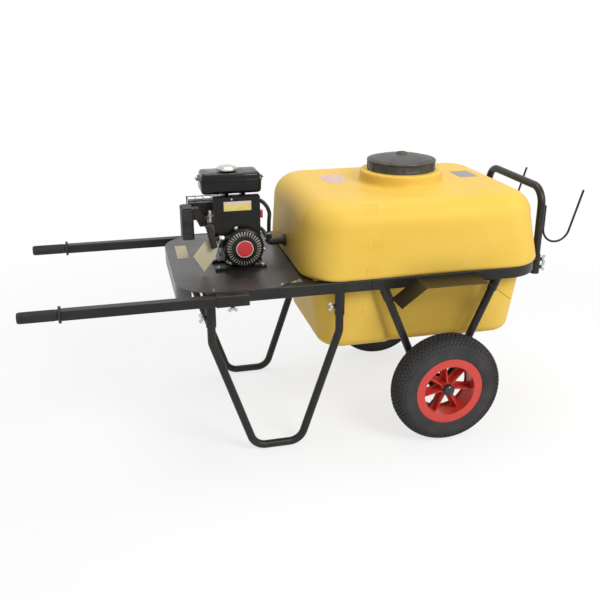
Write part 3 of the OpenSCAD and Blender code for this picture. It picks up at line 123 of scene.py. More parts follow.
class Finish(Nodes):
    """One material: a Principled shader and the nodes that vary it over the surface."""

    def __init__(self, name, **surface):
        self.material = bpy.data.materials.new(name)
        self.material.use_nodes = True
        super().__init__(self.material.node_tree)
        self.shader = self.tree.nodes["Principled BSDF"]
        self.place = self.node("TexCoord", {}, {}, "Object")
        self.surface(**surface)

    def surface(self, **values):
        for name, value in values.items():
            self.join(self.shader.inputs[name.replace("_", " ").title().replace("Ior", "IOR")], value)

    def mix(self, factor, a, b):
        return self.node("Mix", {"data_type": "RGBA"}, {0: factor, 6: a, 7: b}, 2)

    def noise(self, scale, detail, roughness=0.5):
        return self.node("TexNoise", {}, {"Vector": self.place, "Scale": scale, "Detail": detail,
                                          "Roughness": roughness})

    def edges(self, radius):
        """Where the surface turns a corner: 0 on flats, towards 1 on edges."""
        soft = self.node("Bevel", {"samples": 4}, {"Radius": radius})
        hard = self.node("NewGeometry", {}, {}, "Normal")
        level = self.node("VectorMath", {"operation": "DOT_PRODUCT"}, {0: soft, 1: hard}, "Value")
        return (1 - level).mapped(0.01, 0.22)

    def relief(self, height, depth, strength, round_edges=0.0):
        """Raises the surface by a height; where asked, its edges look rounded too."""
        sockets = {"Height": height, "Distance": depth, "Strength": strength}
        if round_edges:
            sockets["Normal"] = self.node("Bevel", {"samples": 4}, {"Radius": round_edges})
        self.surface(normal=self.node("Bump", {}, sockets))

    def grain(self, scale, detail, depth, strength, round_edges=0.0):
        """Relief of one fine noise."""
        self.relief(self.noise(scale, detail), depth, strength, round_edges)

    def paint(self, *nodes):
        for node in nodes:
            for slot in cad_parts[node].material_slots:
                slot.material = self.material


def powder_coat(name, colour, dusty, rough):
    """Baked powder paint: fine orange peel, dust in patches, edges rubbed to bare steel."""
    bare_steel = (0.16, 0.155, 0.15)
    finish = Finish(name, specular_ior_level=0.3)
    patches = finish.noise(9, 4).mapped(0.42, 0.68)
    peel = finish.noise(900, 2)
    rub = finish.edges(0.0016) * finish.noise(70, 3).mapped(0.48, 0.62)
    tone = finish.mix(patches * 0.55, colour, dusty)
    finish.surface(base_color=finish.mix(rub * 0.55, tone, bare_steel),
                   roughness=patches * 0.14 + rough + peel * 0.05 - rub * 0.08)
    finish.relief(peel * 0.6 + finish.noise(260, 2) * 0.6, 0.00016, 0.5, 0.0014)
    return finish


frame_coat = powder_coat("frame_coat", (0.013, 0.0115, 0.0105), (0.030, 0.0265, 0.023), 0.30)
frame_coat.paint("side_rails", "rear_loop", "cross_members", "handle_sleeves", "leg_sockets",
                 "support_sockets", "hoop_sockets")


def as_object(name, mesh, material):
    """Puts a bmesh into the scene as an object and frees it."""
    data = bpy.data.meshes.new(name)
    mesh.to_mesh(data)
    mesh.free()
    data.materials.append(material)
    made = bpy.data.objects.new(name, data)
    bpy.context.scene.collection.objects.link(made)
    return made


def piece(name, mesh, finish, body, slot, *stands_for, sharp=35, modifiers=()):
    """Turns a bmesh into a finished object that rides on its body."""
    for edge in mesh.edges:
        edge.smooth = len(edge.link_faces) == 2 and edge.calc_face_angle(0) < radians(sharp)
    for face in mesh.faces:
        face.smooth = True
    made = as_object(name, mesh, finish.material)
    for kind, settings in modifiers:
        modifier = made.modifiers.new(kind.lower(), kind)
        for key, value in settings.items():
            setattr(modifier, key, value)
    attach(made, body)
    if stands_for:
        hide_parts(*stands_for)
    return made


def aimed(place, way):
    """A matrix that stands at a place with its Z axis along a way."""
    return Matrix.Translation(place) @ way.to_track_quat("Z", "Y").to_matrix().to_4x4()


def weld(mesh, start, end, radius=0.0026, ripple=0.0035):
    """One run of weld: a round bead of overlapping scales from start to end."""
    start, end = Vector(start), Vector(end)
    along = end - start
    steps = 3 * max(2, round(along.length / ripple))
    ring = bmesh.ops.create_circle(mesh, segments=8, radius=radius * 0.5, cap_ends=True,
                                   matrix=aimed(start, along))["verts"]
    cap = [f for f in mesh.faces if all(v in ring for v in f.verts)]
    for step in range(steps):
        swell = (1.0, 1.12, 0.86)[step % 3]
        grown = bmesh.ops.extrude_face_region(mesh, geom=cap)["geom"]
        ring = [v for v in grown if isinstance(v, bmesh.types.BMVert)]
        bmesh.ops.delete(mesh, geom=cap, context="FACES_ONLY")
        cap = [f for f in grown if isinstance(f, bmesh.types.BMFace)]
        middle = start + along * ((step + 1) / steps)
        now = sum((v.co for v in ring), Vector()) / len(ring)
        size = sum((v.co - now).length for v in ring) / len(ring)
        for v in ring:
            v.co = middle + (v.co - now) * (radius * swell / size)


member_faces = (-0.4182, -0.3782, -0.2772, -0.2372, -0.0862, -0.0462)
sleeve_front, sleeve_rear, splice_x = -0.384, -0.284, 0.1458
rail_inside, rail_outside, splice_outside = 0.29, 0.3305, 0.3303
bead_foot, bead_top, splice_over, splice_bead = 0.5705, 0.6055, 0.001, 0.0014
beads = bmesh.new()
for x in member_faces:
    for side in (-1, 1):
        weld(beads, (x, side * rail_inside, bead_foot), (x, side * rail_inside, bead_top))
for side in (-1, 1):
    for z in (bead_foot, bead_top):
        weld(beads, (sleeve_front, side * rail_outside, z), (sleeve_rear, side * rail_outside, z))
for side in (-1, 1):
    weld(beads, (splice_x, side * splice_outside, bead_foot - splice_over),
         (splice_x, side * splice_outside, bead_top + splice_over), splice_bead)
bmesh.ops.recalc_face_normals(beads, faces=beads.faces)
piece("frame_welds", beads, frame_coat, "frame", "frame", sharp=80)

# Engine deck and mudguards: 2.5 and 2 mm sheet, laser cut and folded, coated with the
# frame. The deck is bolted to the rails; lying flat, it shows more dust and rubbing.

deck_coat = powder_coat("deck_coat", (0.022, 0.019, 0.017), (0.042, 0.036, 0.032), 0.27)
deck_coat.surface(specular_ior_level=0.7)
deck_coat.paint("engine_deck")
# The mudguards' black and its dusty tone both carry a warm olive tint, a painted reflection of the
# yellow tank beside them.
guard_coat_tank_reflection = powder_coat("guard_coat_tank_reflection", (0.026, 0.021, 0.009), (0.040, 0.033, 0.015), 0.36)
guard_coat_tank_reflection.paint("mudguard_right", "mudguard_left")

# Handles: 32 mm square tube that slides in the sleeves, with moulded rubber grips pushed
# on. Each grip has fine lengthwise ribs and a round hand stop.


def weathered(name, cloud, span, fresh, worn, rough, spread, **surface):
    """A finish whose colour and roughness drift between two states in soft patches."""
    finish = Finish(name, **surface)
    finish.patches = finish.noise(*cloud).mapped(*span)
    finish.surface(base_color=finish.mix(finish.patches, fresh, worn),
                   roughness=finish.patches * spread + rough)
    return finish


frame_coat.paint("handle_right", "handle_left")
grip_y, grip_z, grip_ribs = 0.349, 0.588, 44
grip_rubber = weathered("grip_rubber", cloud=(30, 4), span=(0.4, 0.7), fresh=(0.016, 0.016, 0.016),
                        worn=(0.03, 0.029, 0.028), rough=0.55, spread=0.15, specular_ior_level=0.35)
across = grip_rubber.node("SeparateXYZ", {}, {0: grip_rubber.place}, 1)
up = grip_rubber.node("SeparateXYZ", {}, {0: grip_rubber.place}, 2) - grip_z
around = up.maths("ARCTAN2", up, abs(across) - grip_y)
ribbing = around.maths("SINE", around * grip_ribs)
grip_rubber.relief(ribbing * 0.6 + grip_rubber.noise(1400, 2), 0.0002, 0.8, 0.0008)
grip_rubber.paint("grip_right", "grip_left")

# Legs and wheel supports: 28 mm round tube, cold bent, coated like the frame. Zinc-plated
# wing screws clamp the legs, the handles and the hoop.

frame_coat.paint("leg_right", "leg_left", "support_right", "support_left", "axle_right", "axle_left")
bright_zinc = weathered("bright_zinc", cloud=(60, 4), span=(0.35, 0.7), fresh=(0.62, 0.63, 0.65),
                        worn=(0.42, 0.42, 0.43), rough=0.26, spread=0.2, metallic=1.0)
bright_zinc.grain(500, 3, 0.0001, 0.35, 0.0006)
bright_zinc.paint("wing_screws", "axle_fasteners")

# Wheels: pneumatic barrow tyres on moulded plastic rims with seven ribbed spokes. The
# rim turns on a bronze bush and a snap-on cap hides the axle's end. The tread is rows of
# small rubber blocks, and three ribs run round each side wall.


def mottled(name, cloud, one, other, **surface):
    """A finish of even roughness whose colour drifts between two tones."""
    finish = Finish(name, **surface)
    finish.surface(base_color=finish.mix(finish.noise(*cloud), one, other))
    return finish


rim_plastic = weathered("rim_plastic", cloud=(24, 5), span=(0.42, 0.72), fresh=(0.57, 0.040, 0.028),
                        worn=(0.5245, 0.0435, 0.0315), rough=0.33, spread=0.18)
rim_plastic.grain(420, 2, 0.00012, 0.4, 0.0012)
rim_plastic.paint("rim_right", "rim_left")
cap_plastic = mottled("cap_plastic", (40, 4), (0.012, 0.012, 0.012), (0.03, 0.03, 0.03), roughness=0.2)
cap_plastic.grain(600, 2, 0.0001, 0.3, 0.001)
bush_bronze = mottled("bush_bronze", (90, 3), (0.55, 0.36, 0.16), (0.36, 0.24, 0.12),
                      metallic=1.0, roughness=0.35)
bush_bronze.paint("bush_right", "bush_left")
tyre_rubber = weathered("tyre_rubber", cloud=(14, 6, 0.6), span=(0.4, 0.7), fresh=(0.026, 0.025, 0.025),
                        worn=(0.05, 0.047, 0.045), rough=0.66, spread=0.15, specular_ior_level=0.3)
tyre_rubber.grain(700, 3, 0.00022, 0.6)
tyre_rubber.paint("inner_tube_right", "inner_tube_left")


def arc(end, step):
    """Angles from nought to an end, given in degrees and handed back in radians."""
    return [radians(turn) for turn in range(0, end + 1, step)]


def everything(mesh):
    return mesh.verts[:] + mesh.edges[:] + mesh.faces[:]


def turned(mesh, profile, steps, angle=tau):
    """Spins a profile of (radius, height) points round the Z axis."""
    line = [mesh.verts.new((radius, 0, height)) for radius, height in profile]
    edges = [mesh.edges.new(pair) for pair in zip(line, line[1:])]
    bmesh.ops.spin(mesh, geom=line + edges, cent=(0, 0, 0), axis=(0, 0, 1), angle=angle, steps=steps,
                   use_merge=angle == tau)


def repeated(mesh, count):
    """Sets copies of a whole mesh round the Z axis, evenly spaced."""
    bmesh.ops.spin(mesh, geom=everything(mesh), cent=(0, 0, 0), axis=(0, 0, 1),
                   angle=tau * (count - 1) / count, steps=count - 1, use_duplicate=True)


def sealed(mesh, reach=1e-6):
    """Joins the seams of a mesh and turns its faces outwards."""
    bmesh.ops.remove_doubles(mesh, verts=mesh.verts, dist=reach)
    bmesh.ops.recalc_face_normals(mesh, faces=mesh.faces)


def poured(mesh, part):
    """Adds the whole of a part to a mesh and frees the part."""
    held = bpy.data.meshes.new("held")
    part.to_mesh(held)
    part.free()
    mesh.from_mesh(held)
    bpy.data.meshes.remove(held)


def edges_at(verts):
    """All edges that end at any of the vertices."""
    return list({e for v in verts for e in v.link_edges})


def block(mesh, stand, size, soft, segments=2):
    """A box with rounded edges, set in place by a matrix."""
    corners = bmesh.ops.create_cube(mesh, size=1, matrix=stand @ Matrix.Diagonal((*size, 1)))["verts"]
    bmesh.ops.bevel(mesh, geom=edges_at(corners), offset=soft, segments=segments, profile=0.5,
                    affect="EDGES", material=-1)


def carcass(turn, reach=0.0490, half=0.0490, middle=0.1508, squareness=2.6):
    """Point on the rounded section of the tyre and the way its surface faces."""
    across = [copysign(abs(share) ** (2 / squareness), share) for share in (cos(turn), sin(turn))]
    outward = [copysign(abs(share) ** (squareness - 1), share) for share in across]
    point = Vector((middle + reach * across[0], half * across[1]))
    return point, Vector((outward[0] / reach, outward[1] / half)).normalized()


pitches, around_steps, cap_steps = 76, 96, 64
tread_depth, tread_root, tread_soft = 0.0032, 0.0004, 0.0006
tread_edge, shoulder_edge, shoulder_depth = 70, 76, 0.0012
bead_radius = 0.1245
rib_wide, rib_tall = 0.0011, 0.0009
bead_lip = [(0.1235, 0.0430), (0.1180, 0.0395), (0.1045, 0.0380)]
bead_lip += [(radius, -height) for radius, height in bead_lip[::-1]]
# Rows of blocks: degrees round the section, width and length in mm, shift in pitches.
block_rows = ((0, 9, 10.125, 0), (17, 9, 10.125, 0.5), (-17, 9, 10.125, 0.5), (34, 9, 10.125, 0),
              (-34, 9, 10.125, 0), (49, 9.5, 8.37, 0.5), (-49, 9.5, 8.37, 0.5), (62, 8, 7.29, 0),
              (-62, 8, 7.29, 0))
tyre = bmesh.new()
profile = []
for turn in range(-150, 151, 5):
    point, face = carcass(radians(turn))
    if abs(turn) < tread_edge:
        point -= face * tread_depth
    elif abs(turn) <= shoulder_edge:
        point -= face * shoulder_depth
    if point.x > bead_radius:
        profile.append(tuple(point))
turned(tyre, profile + bead_lip + profile[:1], around_steps)
sealed(tyre, 1e-5)
blocks = bmesh.new()
for turn, width, length, shift in block_rows:
    point, face = carcass(radians(turn))
    stand = (Matrix.Rotation(tau / pitches * shift, 4, "Z") @ Matrix.Translation((point.x, 0, point.y))
             @ Matrix.Rotation(-atan2(face.y, face.x), 4, "Y")
             @ Matrix.Translation((-tread_depth / 2 - tread_root, 0, 0)))
    block(blocks, stand, (tread_depth + 2 * tread_root, length / 1000, width / 1000), tread_soft, 1)
repeated(blocks, pitches)
poured(tyre, blocks)
for radius, out in ((0.1655, 0.0487), (0.1385, 0.0462), (0.1290, 0.0438)):
    for way in (-1, 1):
        rib = [(radius + rib_wide * cos(a), way * (out + rib_tall * sin(a))) for a in arc(360, 60)]
        turned(tyre, rib, around_steps)
sealed(tyre)
moulding = bpy.data.meshes.new("moulding")
tyre.to_mesh(moulding)
tyre.free()
for side, hand in ((-1, "right"), (1, "left")):
    outward = Matrix.Rotation(radians(-90 * side), 4, "X")
    tyre = bmesh.new()
    tyre.from_mesh(moulding)
    tyre.transform(Matrix.Translation(sum(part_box("tyre_" + hand), Vector()) / 2) @ outward)
    piece("tyre_" + hand + "_treaded", tyre, tyre_rubber, "wheel_" + hand, "tyre", "tyre_" + hand,
          sharp=40)
    low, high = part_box("hub_cap_" + hand)
    reach, deep = (high.x - low.x) / 2, high.y - low.y
    dome = [(reach * sin(a), deep * (0.45 + 0.55 * cos(a))) for a in arc(90, 9)]
    lip = [(reach, 0.0006), (reach - 0.0005, 0), (reach - 0.0013, 0), (reach - 0.0016, 0.001),
           (reach - 0.0016, deep * 0.42)]
    inside = [((reach - 0.0018) * sin(a), deep * (0.36 + 0.52 * cos(a))) for a in arc(80, 10)[::-1]]
    cap = bmesh.new()
    turned(cap, dome + lip + inside, cap_steps)
    sealed(cap)
    cap_place = (low.x + reach, low.y if side > 0 else high.y, low.z + reach)
    cap.transform(Matrix.Translation(cap_place) @ outward)
    piece("hub_cap_" + hand + "_domed", cap, cap_plastic, "wheel_" + hand, "rubber", "hub_cap_" + hand)
bpy.data.meshes.remove(moulding)

# Tank: one rotationally moulded shell of yellow polyethylene. A wide upper body rests on
# the rails, a narrower lower body hangs between them with a pocket beside each wheel.

hub_x = sum(corner.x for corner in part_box("rim_right")) / 2
neck_x = hub_x - 0.057


def drawn(mesh, loop):
    """Draws a new loop of edges out of an old one; returns it with its vertices, to be moved."""
    made = bmesh.ops.extrude_edge_only(mesh, edges=loop)["geom"]
    loop = [g for g in made if isinstance(g, bmesh.types.BMEdge)]
    return loop, {v for e in loop for v in e.verts}


def mould(mesh, rings, corner_steps=18):
    """Draws a rounded oblong skin through rings and returns its first and last loop.

    Each ring is its front, rear, half width, corner radius, inset and height.
    """
    count = 4 * corner_steps
    verts = bmesh.ops.create_circle(mesh, segments=count, radius=1,
                                    matrix=Matrix.Rotation(tau / count / 2, 4, "Z"))["verts"]
    facing = {v: v.co.copy() for v in verts}
    loop = first = edges_at(verts)
    for number, (front, rear, half, radius, inset, height) in enumerate(rings):
        if number:
            loop, grown = drawn(mesh, loop)
            for v in grown:
                facing[v] = next(facing[e.other_vert(v)] for e in v.link_edges
                                 if e.other_vert(v) not in grown)
            verts = grown
        for v in verts:
            centre = Vector((rear - radius if facing[v].x > 0 else front + radius,
                             half - radius if facing[v].y > 0 else radius - half, height))
            v.co = centre + facing[v] * (radius - inset)
    return first, loop


def sliced(mesh, axis, level):
    """Cuts all faces of a mesh where they cross a level of one axis."""
    place, across = Vector(), Vector()
    place[axis], across[axis] = level, 1
    bmesh.ops.bisect_plane(mesh, geom=everything(mesh), plane_co=place, plane_no=across)


def between(start, end, share):
    return tuple(a + (b - a) * share for a, b in zip(start, end))


def ease(value, low, high):
    """0 below low, 1 above high and a smooth step between them."""
    t = min(1.0, max(0.0, (value - low) / (high - low)))
    return t * t * (3 - 2 * t)


def wall_of(thickness, offset=-1):
    """A modifier that gives a skin its thickness; an offset of -1 keeps it all inside."""
    return "SOLIDIFY", {"thickness": thickness, "offset": offset}


# Lower body first: drawn down and closed, cut into a grid, then pressed in beside the wheels.
shell = bmesh.new()
well_top = (hub_x - 0.452, hub_x + 0.345, 0.278, 0.090)
well_foot = (hub_x - 0.424, hub_x + 0.322, 0.262, 0.090)
foot_level, foot_round = 0.327, 0.040
rings = [(*well_top, 0, 0.611), (*well_top, 0, 0.570), (*between(well_top, well_foot, 0.5), 0, 0.468)]
rings += [(*well_foot, foot_round * (1 - cos(a)), foot_level + foot_round * (1 - sin(a)))
          for a in arc(90, 10)]
bmesh.ops.contextual_create(shell, geom=mould(shell, rings)[1])
# Cuts of the grid: axis, first level, pitch and number.
pocket_grid = ((0, hub_x - 0.32, 0.0095, 56), (1, -0.24, 0.02, 24), (2, 0.3725, 0.0125, 18))
for axis, start, pitch, cuts in pocket_grid:
    for step in range(cuts):
        sliced(shell, axis, start + step * pitch)
pocket_x, pocket_top, pocket_depth = hub_x - 0.050, 0.585, 0.013
pocket_half, pocket_flare = 0.123, 0.084 / 0.241
for v in shell.verts:
    inside = pocket_half + pocket_flare * (v.co.z - foot_level) - abs(v.co.x - pocket_x)
    share = ease(inside, -0.010, 0.014) * ease(abs(v.co.y), 0.10, 0.20)
    share *= ease(pocket_top - v.co.z, 0, 0.02)
    v.co.y -= copysign(pocket_depth * share, v.co.y)

# Upper body: rolled lower lip, flared wall and a wide rounded shoulder.
lip = (hub_x - 0.498, hub_x + 0.388, 0.341, 0.135)
shoulder = (hub_x - 0.488, hub_x + 0.352, 0.335, 0.130)
lip_level, lip_round = 0.626, 0.018
wall_level, tank_top, shoulder_round = 0.703, 0.866, 0.085
rings = [(*lip, lip_round * (1 - sin(a)), lip_level - lip_round * cos(a)) for a in arc(90, 15)]
rings += [(*between(lip, shoulder, 0.5), 0, wall_level)]
rings += [(*shoulder, shoulder_round * (1 - cos(a)), tank_top - shoulder_round * (1 - sin(a)))
          for a in arc(90, 6)]
top_rim = mould(shell, rings)[1]
open_rims = [e for e in shell.edges if e.is_boundary and all(v.co.z < wall_level for v in e.verts)]
bmesh.ops.bridge_loops(shell, edges=open_rims)

# Collar and neck: the flat top is left open to a circle and drawn up in steps.
neck_steps = ((0.170, 0.8662), (0.163, 0.8672), (0.1575, 0.8696), (0.1538, 0.8738), (0.1518, 0.8800),
              (0.1512, 0.8880), (0.1508, 0.9020), (0.1494, 0.9062), (0.1462, 0.9090), (0.1420, 0.9099),
              (0.1240, 0.9100), (0.1192, 0.9108), (0.1172, 0.9135), (0.1170, 0.9170), (0.1178, 0.9185),
              (0.1170, 0.9200), (0.1170, 0.9260), (0.1178, 0.9275), (0.1170, 0.9290), (0.1170, 0.9385),
              (0.1160, 0.9403), (0.1140, 0.9409))
radius = 0.180
ring = edges_at(bmesh.ops.create_circle(shell, segments=96, radius=radius,
                                        matrix=Matrix.Translation((neck_x, 0, tank_top)))["verts"])
bmesh.ops.triangle_fill(shell, edges=top_rim + ring, use_beauty=True)
for new_radius, height in neck_steps:
    ring, verts = drawn(shell, ring)
    for v in verts:
        out, wide = (v.co.x - neck_x) * new_radius / radius, v.co.y * new_radius / radius
        v.co = Vector((neck_x + out, wide, height))
    radius = new_radius
bmesh.ops.recalc_face_normals(shell, faces=shell.faces)

tank_plastic = Finish("tank_plastic", specular_ior_level=0.16, specular_tint=(1.0, 0.80, 0.52))
cloud = tank_plastic.noise(5, 4, 0.55).mapped(0.38, 0.66)
speck = tank_plastic.noise(700, 2)
dimples, swells = tank_plastic.noise(120, 3), tank_plastic.noise(24, 2)
tank_plastic.surface(base_color=tank_plastic.mix(cloud, (0.715, 0.462, 0.074), (0.745, 0.498, 0.092)),
                     roughness=cloud * 0.1 + 0.36 + speck * 0.06)
tank_plastic.relief(speck * 0.4 + dimples + swells * 5.0, 0.0003, 0.4)
tank_wall = BVHTree.FromBMesh(shell)
piece("tank_skin", shell, tank_plastic, "frame", "moulded", "tank", sharp=50, modifiers=[wall_of(0.005)])

# Litre scale: figures cut in the mould, so they stand up from the right-hand wall by about
# a millimetre in the tank's own colour.


def raised_figures(figures, start, end, low, high, bands=12):
    """The figures laid on the tank's right-hand wall between two places along it and two heights."""
    letters = bpy.data.curves.new("figures", "FONT")
    letters.body = figures
    letters.space_character = 1.15
    letters.resolution_u = 3
    holder = bpy.data.objects.new("figures", letters)
    bpy.context.scene.collection.objects.link(holder)
    flat = bpy.data.meshes.new_from_object(holder.evaluated_get(bpy.context.evaluated_depsgraph_get()))
    bpy.data.objects.remove(holder)
    bpy.data.curves.remove(letters)
    mark = bmesh.new()
    mark.from_mesh(flat)
    bpy.data.meshes.remove(flat)
    bmesh.ops.remove_doubles(mark, verts=mark.verts, dist=1e-5)
    corners = [v.co.copy() for v in mark.verts]
    left, foot, _ = (min(side) for side in zip(*corners))
    right, head, _ = (max(side) for side in zip(*corners))
    for v in mark.verts:
        v.co = Vector((start + (v.co.x - left) / (right - left) * (end - start), -1,
                       low + (v.co.y - foot) / (head - foot) * (high - low)))
    for step in range(1, bands):
        sliced(mark, 2, low + (high - low) * step / bands)
    for v in mark.verts:
        v.co = tank_wall.ray_cast(v.co, Vector((0, 1, 0)))[0]
    bmesh.ops.recalc_face_normals(mark, faces=mark.faces)
    bmesh.ops.reverse_faces(mark, faces=[f for f in mark.faces if f.normal.y > 0])
    return mark


scale_marks = (("200", -0.301, -0.245, 0.833, 0.860), ("150", -0.289, -0.236, 0.714, 0.742),
               ("100", -0.290, -0.240, 0.628, 0.656), ("50", -0.288, -0.246, 0.466, 0.498))
for figures, start, end, low, high in scale_marks:
    piece("scale_" + figures, raised_figures(figures, hub_x + start, hub_x + end, low, high),
          tank_plastic, "frame", "moulded", sharp=30, modifiers=[wall_of(0.0012, 0.6)])

# Blank labels: rectangles of plastic film with rounded corners, stuck to the tank's flat
# top before and behind the neck. Nothing is printed on them.


def blank_label(name, film, place, length, width, corner, turn=Matrix()):
    """A plain rounded sheet of film lying at a place, turned by a matrix where it isn't level."""
    sheet = bmesh.new()
    bmesh.ops.create_grid(sheet, x_segments=1, y_segments=1, size=0.5)
    bmesh.ops.scale(sheet, vec=(length, width, 1), verts=sheet.verts)
    bmesh.ops.bevel(sheet, geom=sheet.verts[:], offset=corner, segments=5, profile=0.5,
                    affect="VERTICES", material=-1)
    sheet.transform(Matrix.Translation(place) @ turn)
    piece(name, sheet, film, "frame", "card", modifiers=[wall_of(0.0003, 1)])


def label_film(name, pale, worn, rough):
    """Smooth plastic film, a little faded in patches."""
    film = weathered(name, cloud=(40, 4), span=(0.4, 0.65), fresh=pale, worn=worn, rough=rough,
                     spread=0.15, specular_ior_level=0.5)
    film.grain(300, 3, 0.00006, 0.3)
    return film


label_level = 0.8661
rose_film = label_film("rose_film", (0.60, 0.43, 0.37), (0.57, 0.395, 0.335), 0.45)
grey_film = label_film("grey_film", (0.25, 0.24, 0.26), (0.29, 0.28, 0.295), 0.50)
blank_label("tank_label_front", rose_film, (hub_x - 0.292, 0.0815, label_level), 0.082, 0.138, 0.004)
blank_label("tank_label_rear", grey_film, (hub_x + 0.214, 0.0435, label_level), 0.074, 0.104, 0.003)

# Screw lid, strainer basket and outlet of black polypropylene. The lid has a bead round
# its foot, grip ribs, a grooved top edge and a vented cup in the middle.

lid_plastic = weathered("lid_plastic", cloud=(20, 5), span=(0.4, 0.7), fresh=(0.024, 0.021, 0.019),
                        worn=(0.068, 0.057, 0.047), rough=0.42, spread=0.12)
lid_plastic.grain(900, 2, 0.00014, 0.5, 0.0014)
lid_plastic.paint("tank_lid", "strainer_basket", "tank_outlet")

# Section of the lid in mm: radius and height above its foot.
lid_profile = ((118, 0), (123.6, 0), (124.8, 0.8), (124.8, 4.0), (123.4, 5.2), (122.8, 6.5), (122.6, 27),
               (123.8, 28.6), (125.6, 29.6), (125.9, 31), (125.7, 33.2), (124.4, 35.2), (122.2, 36.2),
               (117.4, 36.6), (116.4, 35.4), (114.2, 35.3), (113.0, 36.2), (112.2, 38.0), (107, 39.6),
               (96, 42.6), (80, 46.1), (60, 49.6), (40, 52.0), (26, 53.1), (22.5, 53.5), (20.6, 54.2),
               (19.8, 55.6), (19.4, 58.8), (18.6, 59.8), (17.4, 60), (12.6, 60), (11.6, 59.4),
               (11.0, 57.0), (9.5, 56.2), (4.0, 56.0), (3.0, 55.6), (2.6, 54.8), (2.6, 49.2), (20, 48.6),
               (60, 45.0), (90, 39.6), (106, 34.0), (112, 32.2), (118, 32.0), (118, 0))
lid_ribs = 12
lid = bmesh.new()
turned(lid, [(radius / 1000, height / 1000) for radius, height in lid_profile], 120)
ribs = bmesh.new()
rib_stand = Matrix.Rotation(tau / lid_ribs / 2, 4, "Z") @ Matrix.Translation((0.1228, 0, 0.0165))
block(ribs, rib_stand, (0.0042, 0.0044, 0.0225), 0.0009, 3)
repeated(ribs, lid_ribs)
poured(lid, ribs)
sealed(lid)
lid.transform(Matrix.Translation((neck_x, 0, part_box("tank_lid")[0].z)))
piece("lid_moulded", lid, lid_plastic, "lid", "lid", "tank_lid", sharp=32)

# Hoop and hose hooks: one 28 mm round tube bent to an arch that slides in its sockets,
# and two hooks of bent 8 mm rod that carry the coiled hose. Coated like the frame.

frame_coat.paint("hoop", "hose_hooks")

# Engine: small air-cooled petrol engine with a pump behind it. Cylinder, crankshaft, pump
# and drain valve are bare metal; crankcase and fan cowling are painted gloss black.

cast_metal = weathered("cast_metal", cloud=(35, 5), span=(0.4, 0.7), fresh=(0.36, 0.36, 0.36),
                       worn=(0.16, 0.155, 0.15), rough=0.45, spread=0.2, metallic=0.9)
cast_metal.grain(1100, 2, 0.0003, 0.5, 0.001)
cast_metal.paint("cylinder", "crankshaft", "drain_valve", "pump")

engine_black = weathered("engine_black", cloud=(30, 5), span=(0.45, 0.75), fresh=(0.0055, 0.005, 0.0045),
                         worn=(0.013, 0.0115, 0.010), rough=0.26, spread=0.2, coat_roughness=0.08,
                         specular_ior_level=0.12)
engine_black.surface(coat_weight=0.32 - engine_black.patches * 0.25)
engine_black.grain(500, 2, 0.00008, 0.16, 0.0012)
engine_black.paint("fan_shroud", "crankcase")

# Recoil starter: pressed steel housing, painted gloss black, with a ring of radial slots
# over a bright guard ring. Three ears with screws hold it to the cowling, and a bright
# sleeve guides the rope.

crank = sum(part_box("starter_pulley"), Vector()) / 2
starter_face = -0.160
forwards = Matrix.Rotation(radians(90), 4, "X")
to_starter = Matrix.Translation((crank.x, starter_face, crank.z)) @ forwards
slots, face_steps = 36, 144
housing = bmesh.new()
turned(housing, [(0, 0.0004), (0.0300, 0.0004), (0.0315, 0), (0.0400, -0.0002), (0.0430, -0.0004)],
       face_steps)
turned(housing, [(0.0605, -0.0036), (0.0635, -0.0046), (0.0660, -0.0066), (0.0678, -0.0094),
                 (0.0688, -0.0130), (0.0692, -0.0170), (0.0692, -0.0280), (0.0684, -0.0290),
                 (0.0684, -0.0334)], face_steps)
bars = bmesh.new()
turned(bars, [(0.0430, -0.0004), (0.0480, -0.0006), (0.0540, -0.0014), (0.0605, -0.0036)], 2,
       tau / slots / 2)
repeated(bars, slots)
poured(housing, bars)
sealed(housing, 2e-5)
if sum(f.normal.z for f in housing.faces) < 0:
    bmesh.ops.reverse_faces(housing, faces=housing.faces)
housing.transform(to_starter)
rolled = "BEVEL", {"width": 0.0005, "segments": 2, "limit_method": "ANGLE", "angle_limit": radians(50)}
piece("starter_housing", housing, engine_black, "frame", "engine_black", "recoil_cover", sharp=40,
      modifiers=[wall_of(0.0022), rolled])


def turned_part(mesh, profile, steps, stand):
    """A turned part of its own, spun round Z and then set in place by a matrix."""
    part = bmesh.new()
    turned(part, profile, steps)
    sealed(part)
    part.transform(stand)
    poured(mesh, part)


ears = bmesh.new()
screws = bmesh.new()
for turn in (10, 130, 250):
    swing = to_starter @ Matrix.Rotation(radians(-turn), 4, "Z")
    block(ears, swing @ Matrix.Translation((0.0702, 0, -0.0308)), (0.0148, 0.0180, 0.0052), 0.0018)
    turned_part(screws, [(0, 0.0048), (0.0034, 0.0046), (0.0046, 0.0036), (0.0050, 0.0022),
                         (0.0050, 0.0012), (0.0066, 0.0010), (0.0066, 0), (0, 0)], 24,
                swing @ Matrix.Translation((0.0712, 0, -0.0282)))
guide = Matrix.Translation((crank.x - 0.067, starter_face + 0.015, crank.z + 0.03975))
guide = guide @ Matrix.Rotation(radians(-90), 4, "Y")
turned_part(ears, [(0.0036, 0.0220), (0.0078, 0.0220), (0.0085, 0.0212), (0.0085, 0), (0.0085, -0.0180),
                   (0.0036, -0.0180), (0.0036, 0.0220)], 32, guide)
piece("starter_ears", ears, engine_black, "frame", "engine_black", "recoil_cover", sharp=40)
turned_part(screws, [(0.00855, 0.0010), (0.0098, 0.0010), (0.0101, 0.0014), (0.0101, 0.0176),
                     (0.0098, 0.0180), (0.00855, 0.0180), (0.00855, 0.0010)], 32, guide)
turned_part(screws, [(0, 0.0030), (0.0026, 0.0029), (0.0038, 0.0018), (0.0040, 0), (0, 0)], 20,
            Matrix.Translation((crank.x - 0.035, -0.126, 0.8615)) @ forwards)
piece("cover_screws", screws, bright_zinc, "frame", "zinc", sharp=40)

